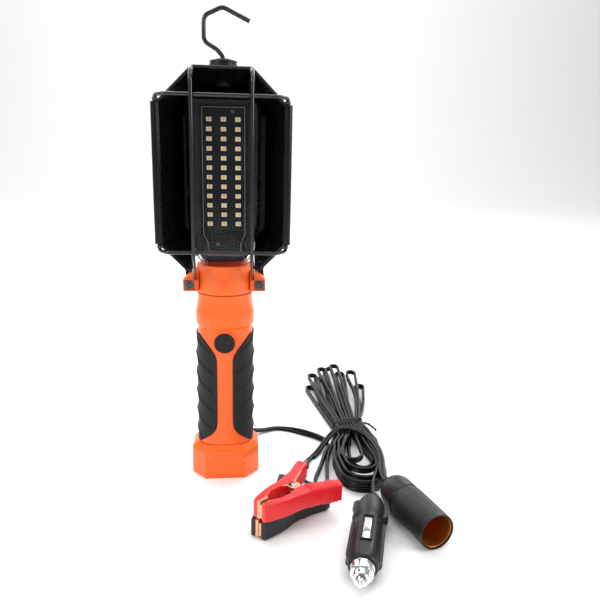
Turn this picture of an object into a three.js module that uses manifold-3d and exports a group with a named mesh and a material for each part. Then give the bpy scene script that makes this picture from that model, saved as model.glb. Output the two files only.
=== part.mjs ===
// A caged LED work light: an orange handle with black grips, a clear lens in front of an LED board,
// a sheet-metal shield with a wire guard and a swivel hook, and a lead kit with a lighter plug,
// a lighter socket and two battery clips.
// Units are millimetres. +Z is up, the lamp stands on its foot at z = 0 and faces -Y.
import * as THREE from "three";
import { mergeVertices } from "three/addons/utils/BufferGeometryUtils.js";
import Module from "manifold-3d";

const wasm = await Module();
wasm.setup();

// ---------------------------------------------------------------------------------------------
// Driving dimensions
// ---------------------------------------------------------------------------------------------
const GAP = 0.3; // between two pieces that touch
const THIN = 0.2; // between a head or ear and the plate it clamps

const foot = {
  halfWidth: 24.4,
  halfDepth: 20.4,
  frontHalfWidth: 14.6, // half the flat of the front and rear faces
  sideHalfDepth: 9, // half the flat of the side faces
  wallHeight: 21,
  chamferHeight: 4,
  chamferInset: 3.6,
  wall: 2.4,
};
const footTop = foot.wallHeight + foot.chamferHeight;

const handle = {
  halfWidth: 19.4,
  halfDepth: 16.8,
  corner: 2.7, // superellipse power of the grip section
  gripLength: 84, // straight stretch above the foot
  bellyHalfWidth: 20.9, // swelling above the switch
  bellyHalfDepth: 19.7,
  bellyRise: 89.5, // above the foot top
  bellyLength: 9.5,
  neckRise: 112.7, // ledge that the collar stands on, above the foot top
  neckRadius: 16.8,
  neckLength: 19.3,
  shoulder: 2.5, // width of the ledge
  wall: 2.4,
};
const neckBase = footTop + handle.neckRise;
const neckTop = neckBase + handle.neckLength;

const grip = {
  thickness: 1.1, // proud of the handle
  bump: 0.9, // finger swellings on top of that
  bumps: 4,
  recess: 1.1, // depth of the pocket in the handle
  lowRise: 0.9, // above the foot top, at the sides
  topRise: 84.3,
  spineHalf: 5.4, // half the orange strip between the pads, at the front
  windowHalf: 17.8, // half the orange area above and below the pads, at the front
};

const button = { radius: 7.1, rise: 79.1, proud: 2.9, flange: 1.2, travel: 1.5 };

const collar = { wall: 2.2, height: 20, earReach: 28.2, earFront: 11, earRear: 9, earHeight: 14.1 };
const clamp = { screwRadius: 1.5, x: 24, rise: 4.9, nutWidth: 6, nutThickness: 2.7, plate: 1 };

const shield = {
  rimHalfWidth: 41,
  rimTop: 285,
  rimBottom: 158.6,
  corner: 22.4, // leg of the upper 45 degree corners at the rim
  lowerCorner: 16.9,
  rimY: -32,
  panelY: 20,
  inset: 11.5, // the rear panel is smaller than the rim by this, all round
  wall: 1,
  sleeveRadius: 2.6,
  sleeveEnds: 0.4, // the sleeves stop this far short of the side's straight edge
  footCut: 20.5, // half the gap in the bottom wall
  lugWidth: 6.7,
};

const guard = { wire: 1.25, hoopY: -40.2, hoopTop: 267.4, hoopBottom: 171.7, barX: 18.3, bend: 3.5 };

const lens = {
  halfWidth: 24.5,
  top: 269.3,
  waistZ: 193,
  kneeHalfWidth: 21.3,
  kneeZ: 168,
  toeHalfWidth: 15.8,
  frontY: -15,
  bevel: 3.4,
  corner: 5,
  backY: 3,
  housingY: 10,
  wall: 2,
};

const board = {
  halfWidth: 15.3,
  top: 264.2,
  shoulderZ: 178,
  tailHalfWidth: 12.5,
  tailZ: 172.8,
  bottom: 162,
  frontY: -5.6,
  thickness: 1.3,
};
const led = {
  columns: 3, rows: 12, pitchX: 9.5, pitchZ: 6.25, topZ: 254.9, width: 3.5, height: 2.8, depth: 0.8,
};

const hook = { wire: 1.5, bossRadius: 9.3, bossTop: 291.8, bossPlate: 3.8, hub: 5.5, hubHeight: 1, stem: 5 };

const lead = { lamp: 2.4, core: 1.2 };
const hank = { low: 0.3, height: 13.1 };
const tie = { x: 103, y: 50.5, turn: 15.8, half: 12.1, low: 1.45, high: 12.8, band: 1, width: 1.6 };

const plug = {
  entry: [100.2, -66.5],
  heading: -106.5, // degrees from +X
  height: 10.3,
  length: 88.3,
  radius: 10.1,
  bore: 7.3,
  contactThrow: 1.2,
  tipRadius: 2.6,
  tipThrow: 3,
  fuseRadius: 3.1,
};
const socket = {
  entry: [114.2, -54.3],
  heading: -73.5, // degrees from +X
  height: 12.2,
  length: 58.5,
  wall: 0.95,
  liner: 0.4,
};

const clip = { halfHeight: 6.75, pivot: 30, plate: 0.8, rivet: 1.5, ear: 4, sleeveWall: 0.65 };

// ---------------------------------------------------------------------------------------------
// Geometry helpers
// ---------------------------------------------------------------------------------------------
const DEG = Math.PI / 180;

// The same surface with its faces pointing out.
function outward(geometry) {
  const flat = geometry.index ? geometry.toNonIndexed() : geometry;
  const bare = new THREE.BufferGeometry().setAttribute("position", flat.getAttribute("position"));
  const merged = mergeVertices(bare, 1e-4);
  const index = merged.index.array;
  const corner = [new THREE.Vector3(), new THREE.Vector3(), new THREE.Vector3()];
  let volume = 0;
  for (let i = 0; i < index.length; i += 3) {
    corner.forEach((v, k) => v.fromBufferAttribute(merged.attributes.position, index[i + k]));
    volume += corner[0].dot(corner[1].clone().cross(corner[2]));
  }
  if (volume < 0) {
    for (let i = 0; i < index.length; i += 3) [index[i], index[i + 1]] = [index[i + 1], index[i]];
  }
  return merged;
}

function toSolid(geometry) {
  const closed = outward(geometry);
  return new wasm.Manifold(
    new wasm.Mesh({
      numProp: 3,
      vertProperties: new Float32Array(closed.attributes.position.array),
      triVerts: new Uint32Array(closed.index.array),
    }),
  );
}

function toGeometry(solid) {
  const mesh = solid.getMesh();
  const geometry = new THREE.BufferGeometry();
  geometry.setAttribute("position", new THREE.BufferAttribute(new Float32Array(mesh.vertProperties), 3));
  geometry.setIndex(new THREE.BufferAttribute(new Uint32Array(mesh.triVerts), 1));
  return geometry;
}

const join = (...list) => toGeometry(list.map(toSolid).reduce((a, b) => a.add(b)));
const cut = (first, ...rest) => toGeometry(rest.map(toSolid).reduce((a, b) => a.subtract(b), toSolid(first)));
const common = (a, b) => toGeometry(toSolid(a).intersect(toSolid(b)));

// A block between two corners.
function block([x0, y0, z0], [x1, y1, z1]) {
  const box = new THREE.BoxGeometry(x1 - x0, y1 - y0, z1 - z0);
  return box.translate((x0 + x1) / 2, (y0 + y1) / 2, (z0 + z1) / 2);
}

// A turned solid about +Z. The profile is [radius, z] points, from the axis back to it.
function turned(profile, sides = 24) {
  const lathe = new THREE.LatheGeometry(profile.map(([r, z]) => new THREE.Vector2(r, z)), sides);
  return outward(lathe.rotateX(Math.PI / 2));
}

// A turned ring: the profile closes on itself, clear of the axis.
const ring = (profile, sides) => turned([...profile, profile[0]], sides);

const rod = (radius, z0, z1, sides) => turned([[0, z0], [radius, z0], [radius, z1], [0, z1]], sides);

// A solid built along +Z, moved to point along a direction from an origin.
function aimed(geometry, origin, direction) {
  const turn = new THREE.Quaternion().setFromUnitVectors(
    new THREE.Vector3(0, 0, 1),
    new THREE.Vector3(...direction).normalize(),
  );
  return geometry.applyQuaternion(turn).translate(...origin);
}
const alongY = (geometry, x, y, z) => geometry.rotateX(-Math.PI / 2).translate(x, y, z);

const outline = (points) => new THREE.Shape(points.map(([x, y]) => new THREE.Vector2(x, y)));

// A flat outline raised from z0 to z1.
function slab(points, z0, z1) {
  const options = { depth: z1 - z0, bevelEnabled: false };
  return new THREE.ExtrudeGeometry(outline(points), options).translate(0, 0, z0);
}

// An outline drawn in X and Z, from y0 at the front to y1 at the back.
function upright(points, y0, y1) {
  return slab(points, 0, y1 - y0).rotateX(Math.PI / 2).translate(0, y1, 0);
}

const mirrored = (points) => [...points, ...[...points].reverse().map(([x, y]) => [-x, y])];
const mirrorX = (geometry) => outward(geometry.clone().scale(-1, 1, 1));

// A lofted solid: stations of [z, half width, half depth, superellipse power], flat at both ends.
function lofted(stations, sides = 24) {
  const rows = [stations[0], ...stations, stations.at(-1)];
  const profile = rows.map(([z], i) => new THREE.Vector2(i === 0 || i === rows.length - 1 ? 0 : 1, z));
  const lathe = new THREE.LatheGeometry(profile, sides);
  const place = lathe.attributes.position;
  for (let i = 0; i < place.count; i++) {
    const [z, halfWidth, halfDepth, power = 2] = rows[i % rows.length];
    const edge = i % rows.length > 0 && i % rows.length < rows.length - 1;
    const angle = (Math.floor(i / rows.length) / sides) * 2 * Math.PI;
    const [c, s] = [Math.cos(angle), Math.sin(angle)];
    const sum = Math.abs(c / halfWidth) ** power + Math.abs(s / halfDepth) ** power;
    const reach = edge ? sum ** (-1 / power) : 0;
    place.setXYZ(i, reach * c, reach * s, z);
  }
  return outward(lathe);
}

// A route through hand-chosen points, with each corner rounded to the radius where it fits.
function rounded(points, radius, steps = 3) {
  const stops = points.map((p) => new THREE.Vector3(...p));
  const route = [stops[0]];
  for (let i = 1; i < stops.length - 1; i++) {
    const back = stops[i - 1].clone().sub(stops[i]);
    const ahead = stops[i + 1].clone().sub(stops[i]);
    const room = 0.45 * Math.min(back.length(), ahead.length());
    back.normalize();
    ahead.normalize();
    const half = back.angleTo(ahead) / 2;
    const trim = Math.min(radius / Math.tan(half), room);
    const centre = back.clone().add(ahead).normalize().multiplyScalar(trim / Math.cos(half)).add(stops[i]);
    const start = back.multiplyScalar(trim).add(stops[i]).sub(centre);
    const end = ahead.multiplyScalar(trim).add(stops[i]).sub(centre);
    const axis = start.clone().cross(end).normalize();
    const sweep = start.angleTo(end);
    for (let k = 0; k <= steps; k++)
      route.push(start.clone().applyAxisAngle(axis, (sweep * k) / steps).add(centre));
  }
  route.push(stops.at(-1));
  return route;
}

// A curve that gives its listed points in turn, so that straight stretches take one step.
class ListedRoute extends THREE.Curve {
  constructor(points) {
    super();
    this.points = points;
  }
  getPoint(t) {
    return this.points[Math.round(t * (this.points.length - 1))].clone();
  }
  getPointAt(t) {
    return this.getPoint(t);
  }
  getTangent(t) {
    const i = Math.round(t * (this.points.length - 1));
    const before = this.points[Math.max(i - 1, 0)];
    const after = this.points[Math.min(i + 1, this.points.length - 1)];
    const here = this.points[i];
    const tangent = here.clone().sub(before).normalize().add(after.clone().sub(here).normalize());
    return tangent.normalize();
  }
  getTangentAt(t) {
    return this.getTangent(t);
  }
}

// A round bar or cord along a route of points.
function tube(points, radius, bend, sides = 8, bendSteps = 3) {
  const route = rounded(points, bend, bendSteps);
  const section = [...Array(sides).keys()].map((k) => {
    const angle = ((k + 0.5) / sides) * 2 * Math.PI;
    return [radius * Math.cos(angle), radius * Math.sin(angle)];
  });
  const options = { steps: route.length - 1, extrudePath: new ListedRoute(route), bevelEnabled: false };
  return outward(new THREE.ExtrudeGeometry(outline(section), options));
}

// ---------------------------------------------------------------------------------------------
// Scene and looks
// ---------------------------------------------------------------------------------------------
const workLight = new THREE.Group();

const LOOKS = {
  orange: [0xf9641c, 0.42, 0],
  blackRubber: [0x17181a, 0.85, 0],
  blackPlastic: [0x1b1c1e, 0.5, 0],
  blackPaint: [0x101113, 0.35, 0.2],
  blackWire: [0x141416, 0.3, 0.4],
  clear: [0xe8eef2, 0.05, 0],
  boardBlack: [0x0d0e10, 0.45, 0],
  steel: [0xb9bcc0, 0.3, 1],
  darkSteel: [0x2a2b2d, 0.4, 0.8],
  copper: [0xc87b4a, 0.35, 1],
  red: [0xe5202a, 0.45, 0],
  cord: [0x141416, 0.5, 0],
  boardGreen: [0x1d5a35, 0.6, 0],
  glass: [0xd6dcdf, 0.1, 0],
  chrome: [0xd9dbde, 0.12, 1],
  darkRed: [0x6f1712, 0.5, 0],
};

function part(name, geometry, look) {
  const [color, roughness, metalness] = LOOKS[look];
  const mesh = new THREE.Mesh(geometry, new THREE.MeshStandardMaterial({ color, roughness, metalness }));
  mesh.name = name;
  mesh.geometry.computeVertexNormals();
  workLight.add(mesh);
}

// ---------------------------------------------------------------------------------------------
// Foot: an eight-sided hollow block that the lamp stands on
// ---------------------------------------------------------------------------------------------
const gland = { x: 5, z: 15, stem: 4, flange: 5.6, length: 9.5 };

function footBlock(inset) {
  const octagon = mirrored([
    [foot.frontHalfWidth - inset / 2, -foot.halfDepth + inset],
    [foot.halfWidth - inset, -foot.sideHalfDepth + inset / 2],
    [foot.halfWidth - inset, foot.sideHalfDepth - inset / 2],
    [foot.frontHalfWidth - inset / 2, foot.halfDepth - inset],
  ]);
  return new THREE.ExtrudeGeometry(outline(octagon), {
    depth: foot.wallHeight,
    bevelSize: foot.chamferInset,
    bevelOffset: -foot.chamferInset,
    bevelThickness: foot.chamferHeight,
    bevelSegments: 1,
  });
}

function makeFoot() {
  const reach = foot.halfWidth + 5;
  const aboveFloor = block([-reach, -reach, 0], [reach, reach, footTop + 5]);
  const pocket = common(
    footBlock(foot.wall).translate(0, 0, 1),
    block([-reach, -reach, foot.wall], [reach, reach, footTop + 5]),
  );
  const glandHole = alongY(rod(gland.stem + GAP, 0, 12, 16), gland.x, foot.halfDepth - 6, gland.z);
  const tongueX = handle.halfWidth - handle.wall - grip.recess - 2 * GAP;
  const tongue = block([tongueX - 1.6, -3.5, footTop - 6], [tongueX, 3.5, footTop + 6]);
  const bridge = block([tongueX - 1.6, -3.5, footTop - 6], [foot.halfWidth - foot.wall, 3.5, footTop - 4.4]);
  const snap = join(tongue, bridge);
  const shell = cut(common(footBlock(0), aboveFloor), pocket, glandHole);
  part("base_cap", join(shell, snap, mirrorX(snap)), "orange");
}

// ---------------------------------------------------------------------------------------------
// Handle: two shells that meet at y = 0, with a pocket at each side for the grip pads
// ---------------------------------------------------------------------------------------------
// The handle's outer surface, taken in by an amount all round.
function handleStations(inset) {
  const z = (rise) => footTop + rise;
  const at = (rise, halfWidth, halfDepth, power) => [z(rise), halfWidth - inset, halfDepth - inset, power];
  return [
    at(GAP, handle.halfWidth, handle.halfDepth - 0.2, handle.corner),
    at(handle.gripLength, handle.halfWidth + 0.2, handle.halfDepth + 0.8, handle.corner),
    at(handle.bellyRise - 3.5, handle.halfWidth - 0.2, handle.halfDepth + 1.2, 2.4),
    at(handle.bellyRise, handle.bellyHalfWidth, handle.bellyHalfDepth - 0.1, 2.2),
    at(handle.bellyRise + handle.bellyLength, handle.bellyHalfWidth, handle.bellyHalfDepth, 2.1),
    at(handle.neckRise - 4, handle.neckRadius + handle.shoulder, handle.neckRadius + handle.shoulder, 2),
    at(handle.neckRise, handle.neckRadius + handle.shoulder, handle.neckRadius + handle.shoulder, 2),
  ];
}

// The area that a grip pad covers, seen from the front: everything outboard of its inner edge.
function gripArea(grow) {
  const far = foot.halfWidth + 6;
  const low = footTop + grip.lowRise - grow;
  const top = footTop + grip.topRise + grow;
  const points = [
    [grip.windowHalf - grow, low],
    [far, low],
    [far, top],
    [grip.windowHalf - grow, top],
    [grip.spineHalf + 2.8 - grow, top - 11 + grow],
    [grip.spineHalf - grow, top - 18],
    [grip.spineHalf - grow, low + 15],
    [grip.spineHalf + 3.2 - grow, low + 8 - grow],
  ];
  return upright(points, -far, far);
}

function makeHandle() {
  const reach = foot.halfWidth + 10;
  const shell = handleStations(0);
  const neck = rod(handle.neckRadius, neckBase - 1, neckTop, 24);
  const hollowStations = handleStations(handle.wall + grip.recess);
  hollowStations[0][0] -= 2;
  const hollow = lofted(hollowStations, 16);
  const neckHollow = rod(handle.neckRadius - handle.wall - 0.1, neckBase - 6, neckTop + 1, 16);
  const core = lofted(handleStations(grip.recess));
  const pocketRight = cut(gripArea(GAP), core);
  const buttonRod = rod(button.radius + GAP, -8, 8, 20);
  const buttonHole = alongY(buttonRod, 0, -handle.halfDepth - 1, footTop + button.rise);
  const pockets = join(pocketRight, mirrorX(pocketRight));
  let body = cut(join(lofted(shell), neck), hollow, neckHollow, pockets, buttonHole);

  // Screw posts: a blind pilot in the front shell, a countersunk passage in the rear shell.
  const postEnd = handle.halfDepth - 0.8;
  const atScrews = (radius, y0, y1) =>
    screwRises.map((rise) => alongY(rod(radius, y0, y1, 8), 0, 0, footTop + rise));
  const posts = atScrews(4, -postEnd, postEnd);
  const pilots = atScrews(screw.radius + GAP, -10, reach);
  const seats = atScrews(screw.head + GAP, screw.seatY, reach);
  body = cut(join(body, ...posts), ...pilots, ...seats);

  const front = block([-reach, -reach, 0], [reach, -GAP / 2, neckTop + 5]);
  const rear = block([-reach, GAP / 2, 0], [reach, reach, neckTop + 5]);
  part("handle_front", common(body, front), "orange");
  part("handle_rear", common(body, rear), "orange");

  // Grip pads: they lie in the pockets and swell at each finger groove.
  const swell = handleStations(-grip.thickness).slice(0, 2);
  const [bottom, top] = swell;
  const waves = 2 * grip.bumps;
  const padStations = [...Array(waves + 1).keys()].map((i) => {
    const t = i / waves;
    const bump = i % 2 ? grip.bump : 0;
    const mix = (k) => bottom[k] + (top[k] - bottom[k]) * t + (k && k < 3 ? bump : 0);
    return [mix(0), mix(1), mix(2), mix(3)];
  });
  const seat = lofted(handleStations(grip.recess - GAP));
  const pad = cut(common(lofted([...padStations, [top[0] + 6, top[1], top[2], top[3]]]), gripArea(0)), seat);
  const clear = block([0, -reach, 0], [reach, reach, neckTop]);
  part("grip_right", common(pad, clear), "blackRubber");
  part("grip_left", mirrorX(common(pad, clear)), "blackRubber");
}

const screw = { radius: 1.25, head: 2.6, headHeight: 2, seatY: 11.5 };
const screwRises = [9, 98];

function makeHandleScrews() {
  const profile = [
    [0, -9.5],
    [screw.radius, -9.5],
    [screw.radius, screw.seatY + GAP],
    [screw.head, screw.seatY + GAP],
    [screw.head, screw.seatY + GAP + screw.headHeight],
    [0, screw.seatY + GAP + screw.headHeight],
  ];
  ["lower", "upper"].forEach((place, i) =>
    part(`handle_screw_${place}`, alongY(turned(profile, 8), 0, 0, footTop + screwRises[i]), "steel"),
  );
}

// ---------------------------------------------------------------------------------------------
// Switch and the parts inside the handle
// ---------------------------------------------------------------------------------------------
function makeSwitch() {
  const z = footTop + button.rise;
  const face = handle.halfDepth + 0.4 + button.proud; // distance of the button's face in front of y = 0
  const inside = handle.halfDepth - handle.wall - grip.recess - 3 * GAP; // where the button's flange starts
  const profile = [
    [0, -face],
    [button.radius - 1.2, -face],
    [button.radius, -face + 1],
    [button.radius, -inside],
    [button.radius + 1.2, -inside],
    [button.radius + 1.2, -inside + button.flange],
    [0, -inside + button.flange],
  ];
  part("switch_button", alongY(turned(profile, 20), 0, 0, z), "blackPlastic");
  const back = -inside + button.flange + button.travel + GAP;
  const body = block([-6.5, back + 1.5, z - 6], [6.5, back + 8.5, z + 6]);
  const plunger = block([-2, back, z - 2], [2, back + 2, z + 2]);
  part("switch_body", join(body, plunger), "blackPlastic");
}

function makeDriver() {
  const low = footTop + 16;
  const plate = block([-9.5, 1.2, low], [9.5, 2.8, low + 48]);
  const inductor = aimed(rod(4.2, 0, 6, 12), [-3, 2.4, low + 12], [0, 1, 0]);
  const capacitor = aimed(rod(3, 0, 7.5, 12), [4, 2.4, low + 34], [0, 1, 0]);
  const chip = block([-4, 2.4, low + 20], [3, 4.4, low + 26]);
  part("driver_board", join(plate, inductor, capacitor, chip), "boardGreen");
}

function makeWires() {
  const side = handle.neckRadius - handle.wall - 5;
  const route = [
    [gland.x, foot.halfDepth - 4.5, gland.z],
    [gland.x + 1, 9, gland.z + 2],
    [side, 6.5, footTop + 12],
    [side, 6.5, neckBase - 10],
    [side - 2, 5, neckBase + 8],
  ];
  part("lamp_wires", tube(route, 1.3, 5, 8, 2), "red");
}

// ---------------------------------------------------------------------------------------------
// Collar: two half rings that clamp the neck and, at their ears, the shield's lugs
// ---------------------------------------------------------------------------------------------
const collarLow = neckBase + 0.6;
const collarTop = collarLow + collar.height;
const collarInner = handle.neckRadius + GAP + 0.1;
const earParting = clamp.plate / 2 + GAP;
const clampZ = collarLow + 1.2 + clamp.rise;
const wireEnd = { x: 19.4, y: -8.5, z: clampZ + 4.7 };

function makeCollar() {
  const outer = collarInner + collar.wall;
  const hoop = ring([
    [collarInner, collarLow], [outer, collarLow], [outer, collarTop], [collarInner, collarTop],
  ], 24);
  const earLow = collarLow + 1.2;
  const earTop = earLow + collar.earHeight;
  const ear = [
    [collarInner - 2, earLow],
    [collar.earReach, earLow],
    [collar.earReach, earTop - 5],
    [collar.earReach - 7, earTop],
    [collarInner - 2, earTop],
  ];
  const bore = rod(collarInner, collarLow - 1, collarTop + 1, 24);
  const screwHole = alongY(rod(clamp.screwRadius + GAP, -20, 20, 8), clamp.x, 0, clampZ);
  const half = clamp.nutWidth / 2 + GAP;
  const nutFace = -collar.earFront + 1.5;
  const nutSeat = block([clamp.x - half, -20, clampZ - half], [clamp.x + half, nutFace + GAP, clampZ + half]);
  const wireHole = alongY(rod(guard.wire + GAP, -20, wireEnd.y + GAP, 8), wireEnd.x, 0, wireEnd.z);
  const cuts = [screwHole, nutSeat, wireHole];
  const both = (list) => [...list, ...list.map(mirrorX)];
  const makeHalf = (name, y0, y1, away) => {
    const ears = both([upright(ear, y0, y1)]);
    const piece = cut(join(hoop, ...ears), bore, ...both(cuts), away);
    part(name, piece, "orange");
  };
  const far = collar.earReach + 10;
  makeHalf("collar_front", -collar.earFront, -earParting, block([-far, -earParting, 0], [far, far, 400]));
  makeHalf("collar_rear", earParting, collar.earRear, block([-far, -far, 0], [far, earParting, 400]));

  // Clamp screw from the rear, square nut in the front seat.
  const head = collar.earRear + THIN;
  const profile = [
    [0, -collar.earFront - 2],
    [clamp.screwRadius, -collar.earFront - 2],
    [clamp.screwRadius, head],
    [2.8, head],
    [2.8, head + 1.4],
    [2, head + 2.1],
    [0, head + 2.1],
  ];
  const side = clamp.nutWidth / 2;
  const nutBlock = block([-side, nutFace - clamp.nutThickness, -side], [side, nutFace, side]);
  const nut = cut(nutBlock, alongY(rod(clamp.screwRadius + GAP, -20, 20, 8), 0, 0, 0));
  for (const [place, x] of [["left", -clamp.x], ["right", clamp.x]]) {
    part(`clamp_screw_${place}`, alongY(turned(profile, 10), x, 0, clampZ), "steel");
    part(`clamp_nut_${place}`, nut.clone().translate(x, 0, clampZ), "darkSteel");
  }
}

// ---------------------------------------------------------------------------------------------
// Shield: a folded sheet-metal hood, open at the front, with rolled edges that hold the guard hoop
// ---------------------------------------------------------------------------------------------
// The hood's outline at the rear panel.
function panelOutline() {
  const halfWidth = shield.rimHalfWidth - shield.inset;
  const top = shield.rimTop - shield.inset;
  const bottom = shield.rimBottom + shield.inset;
  const taper = shield.inset * (2 - Math.SQRT2);
  const leg = shield.corner - taper;
  const lowLeg = shield.lowerCorner - taper;
  return mirrored([
    [halfWidth - lowLeg, bottom],
    [halfWidth, bottom + lowLeg],
    [halfWidth, top - leg],
    [halfWidth - leg, top],
  ]);
}

// The hood as a filled wedge, taken in by an amount and moved forward.
function hoodBody(inset, forward) {
  const depth = shield.panelY - shield.rimY;
  const wedge = new THREE.ExtrudeGeometry(outline(panelOutline()), {
    depth: 2,
    bevelSize: shield.inset,
    bevelOffset: -inset,
    bevelThickness: depth,
    bevelSegments: 1,
  });
  wedge.rotateX(Math.PI / 2).translate(0, shield.rimY - forward, 0);
  return common(wedge, block([-100, shield.rimY - forward, 100], [100, 100, 400]));
}

const hoodSlope = shield.inset / (shield.panelY - shield.rimY);
// Height of the top wall's outer surface at a depth y.
const hoodTopAt = (y) => shield.rimTop - (y - shield.rimY) * hoodSlope;
const sleeveX = shield.rimHalfWidth - 0.1;

function makeShield() {
  const slant = shield.wall * Math.hypot(1, hoodSlope);
  const inner = hoodBody(slant - shield.wall * hoodSlope, shield.wall);
  const sideLow = shield.rimBottom + shield.lowerCorner;
  const sideTop = shield.rimTop - shield.corner;
  const sleeve = rod(shield.sleeveRadius, sideLow + shield.sleeveEnds, sideTop + shield.sleeveEnds, 10)
    .translate(sleeveX, shield.rimY, 0);
  const lug = cut(
    upright(
      [
        [shield.footCut + 0.3, clampZ - 4.9],
        [shield.footCut + 0.3 + shield.lugWidth, clampZ - 4.9],
        [shield.footCut + 0.3 + shield.lugWidth, sideLow],
        [shield.footCut + 0.3, sideLow],
      ],
      -clamp.plate / 2,
      clamp.plate / 2,
    ),
    inner,
  );
  const bore = rod(guard.wire + GAP, shield.rimBottom, shield.rimTop, 8).translate(sleeveX, shield.rimY, 0);
  const screwHole = alongY(rod(clamp.screwRadius + GAP, -5, 5, 8), clamp.x, 0, clampZ);
  const footWay = block(
    [-shield.footCut, shield.rimY - 5, 150],
    [shield.footCut, shield.panelY - shield.wall, 171],
  );
  const lensWay = common(
    upright(lensOutline(-1), lens.frontY, lens.housingY + 1),
    block([-50, -50, 100], [50, 50, 190]),
  );
  const bossHole = rod(hookBore + 1 + GAP, 260, 280, 12);
  const body = cut(join(hoodBody(0, 0), lug, mirrorX(lug)), inner);
  const rolled = join(body, sleeve, mirrorX(sleeve));
  const ways = join(footWay, lensWay);
  const holes = join(bossHole, screwHole, mirrorX(screwHole));
  part("shield", cut(rolled, bore, mirrorX(bore), ways, holes), "blackPaint");
}

// ---------------------------------------------------------------------------------------------
// Guard: a wire hoop across the front and two upright wires
// ---------------------------------------------------------------------------------------------
function makeGuard() {
  const frontX = sleeveX - 6;
  const corner = (side, z) => [
    [side * sleeveX, shield.rimY, z],
    [side * frontX, guard.hoopY, z],
  ];
  const middle = (guard.hoopTop + guard.hoopBottom) / 2;
  const hoop = [
    [-sleeveX, shield.rimY, middle + GAP],
    ...corner(-1, guard.hoopTop),
    ...corner(1, guard.hoopTop).reverse(),
    ...corner(1, guard.hoopBottom),
    ...corner(-1, guard.hoopBottom).reverse(),
    [-sleeveX, shield.rimY, middle - GAP],
  ];
  part("guard_loop", tube(hoop, guard.wire, guard.bend, 8, 2), "blackWire");

  const barY = guard.hoopY - 2 * guard.wire - GAP;
  const bar = [
    [guard.barX, shield.rimY - 0.4, shield.rimTop - 1.2],
    [guard.barX, barY + 3, shield.rimTop - 3.5],
    [guard.barX, barY, shield.rimTop - 8],
    [guard.barX, barY, guard.hoopBottom - 3],
    [wireEnd.x, -23, wireEnd.z + 6],
    [wireEnd.x, -14, wireEnd.z],
    [wireEnd.x, wireEnd.y, wireEnd.z],
  ];
  part("guard_wire_right", tube(bar, guard.wire, 4, 8, 2), "blackWire");
  part("guard_wire_left", tube(bar.map(([x, y, z]) => [-x, y, z]), guard.wire, 4, 8, 2), "blackWire");
}

// ---------------------------------------------------------------------------------------------
// Lamp head: clear lens, tray behind it and the LED board between them
// ---------------------------------------------------------------------------------------------
const lensBottom = collarTop + 0.5;

function lensOutline(inset) {
  const c = lens.corner;
  return mirrored([
    [lens.toeHalfWidth - inset, lensBottom + inset],
    [lens.kneeHalfWidth - inset, lens.kneeZ + inset * 0.2],
    [lens.halfWidth - inset, lens.waistZ],
    [lens.halfWidth - inset, lens.top - c],
    [lens.halfWidth - inset - c * 0.3, lens.top - inset - c * 0.3],
    [lens.halfWidth - c, lens.top - inset],
  ]);
}

function lensBody(inset, y0) {
  const front = new THREE.ExtrudeGeometry(outline(lensOutline(inset)), {
    depth: 30,
    bevelSize: lens.bevel,
    bevelOffset: -lens.bevel,
    bevelThickness: lens.bevel,
    bevelSegments: 1,
  });
  front.rotateX(Math.PI / 2).translate(0, y0 + 30 + lens.bevel, 0);
  return common(front, block([-50, -50, 100], [50, lens.backY + (inset ? 1 : 0), 400]));
}

function makeHead() {
  const tailHalf = board.tailHalfWidth;
  const tailGate = block(
    [-tailHalf, board.frontY - GAP, lensBottom - 2],
    [tailHalf, 20, lensBottom + lens.wall + 1],
  );
  const inside = lensBody(lens.wall, lens.frontY + lens.wall);
  part("lens", cut(lensBody(0, lens.frontY), inside, tailGate), "clear");

  const trayFront = board.frontY + board.thickness + GAP;
  const tray = upright(lensOutline(lens.wall + GAP + 0.1), trayFront, lens.housingY);
  const spigotRadius = handle.neckRadius - handle.wall - 0.1 - GAP;
  const spigotTop = collarTop + 0.2;
  const spigot = cut(
    rod(spigotRadius, neckBase - 1.5, spigotTop, 16),
    rod(spigotRadius - 2, neckBase - 3, spigotTop - 3, 12),
  );
  const stalk = block(
    [-tailHalf + GAP, trayFront, spigotTop - 0.2],
    [tailHalf - GAP, lens.housingY, lensBottom + lens.wall + 3],
  );
  part("lamp_housing", join(tray, spigot, stalk), "blackPlastic");

  const plate = upright(
    mirrored([
      [board.tailHalfWidth - GAP, board.bottom],
      [board.tailHalfWidth - GAP, board.tailZ],
      [board.halfWidth, board.shoulderZ],
      [board.halfWidth, board.top],
    ]),
    board.frontY,
    board.frontY + board.thickness,
  );
  const chips = [];
  for (let row = 0; row < led.rows; row++)
    for (let column = 0; column < led.columns; column++) {
      const x = (column - (led.columns - 1) / 2) * led.pitchX;
      const z = led.topZ - row * led.pitchZ;
      const [w, h] = [led.width / 2, led.height / 2];
      chips.push(block([x - w, board.frontY - led.depth, z - h], [x + w, board.frontY + 0.2, z + h]));
    }
  part("led_board", join(plate, ...chips), "boardBlack");
}

// ---------------------------------------------------------------------------------------------
// Hook: a bent wire that swivels in a boss on the shield's top wall
// ---------------------------------------------------------------------------------------------
const hookBore = hook.wire + 1.1;

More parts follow.
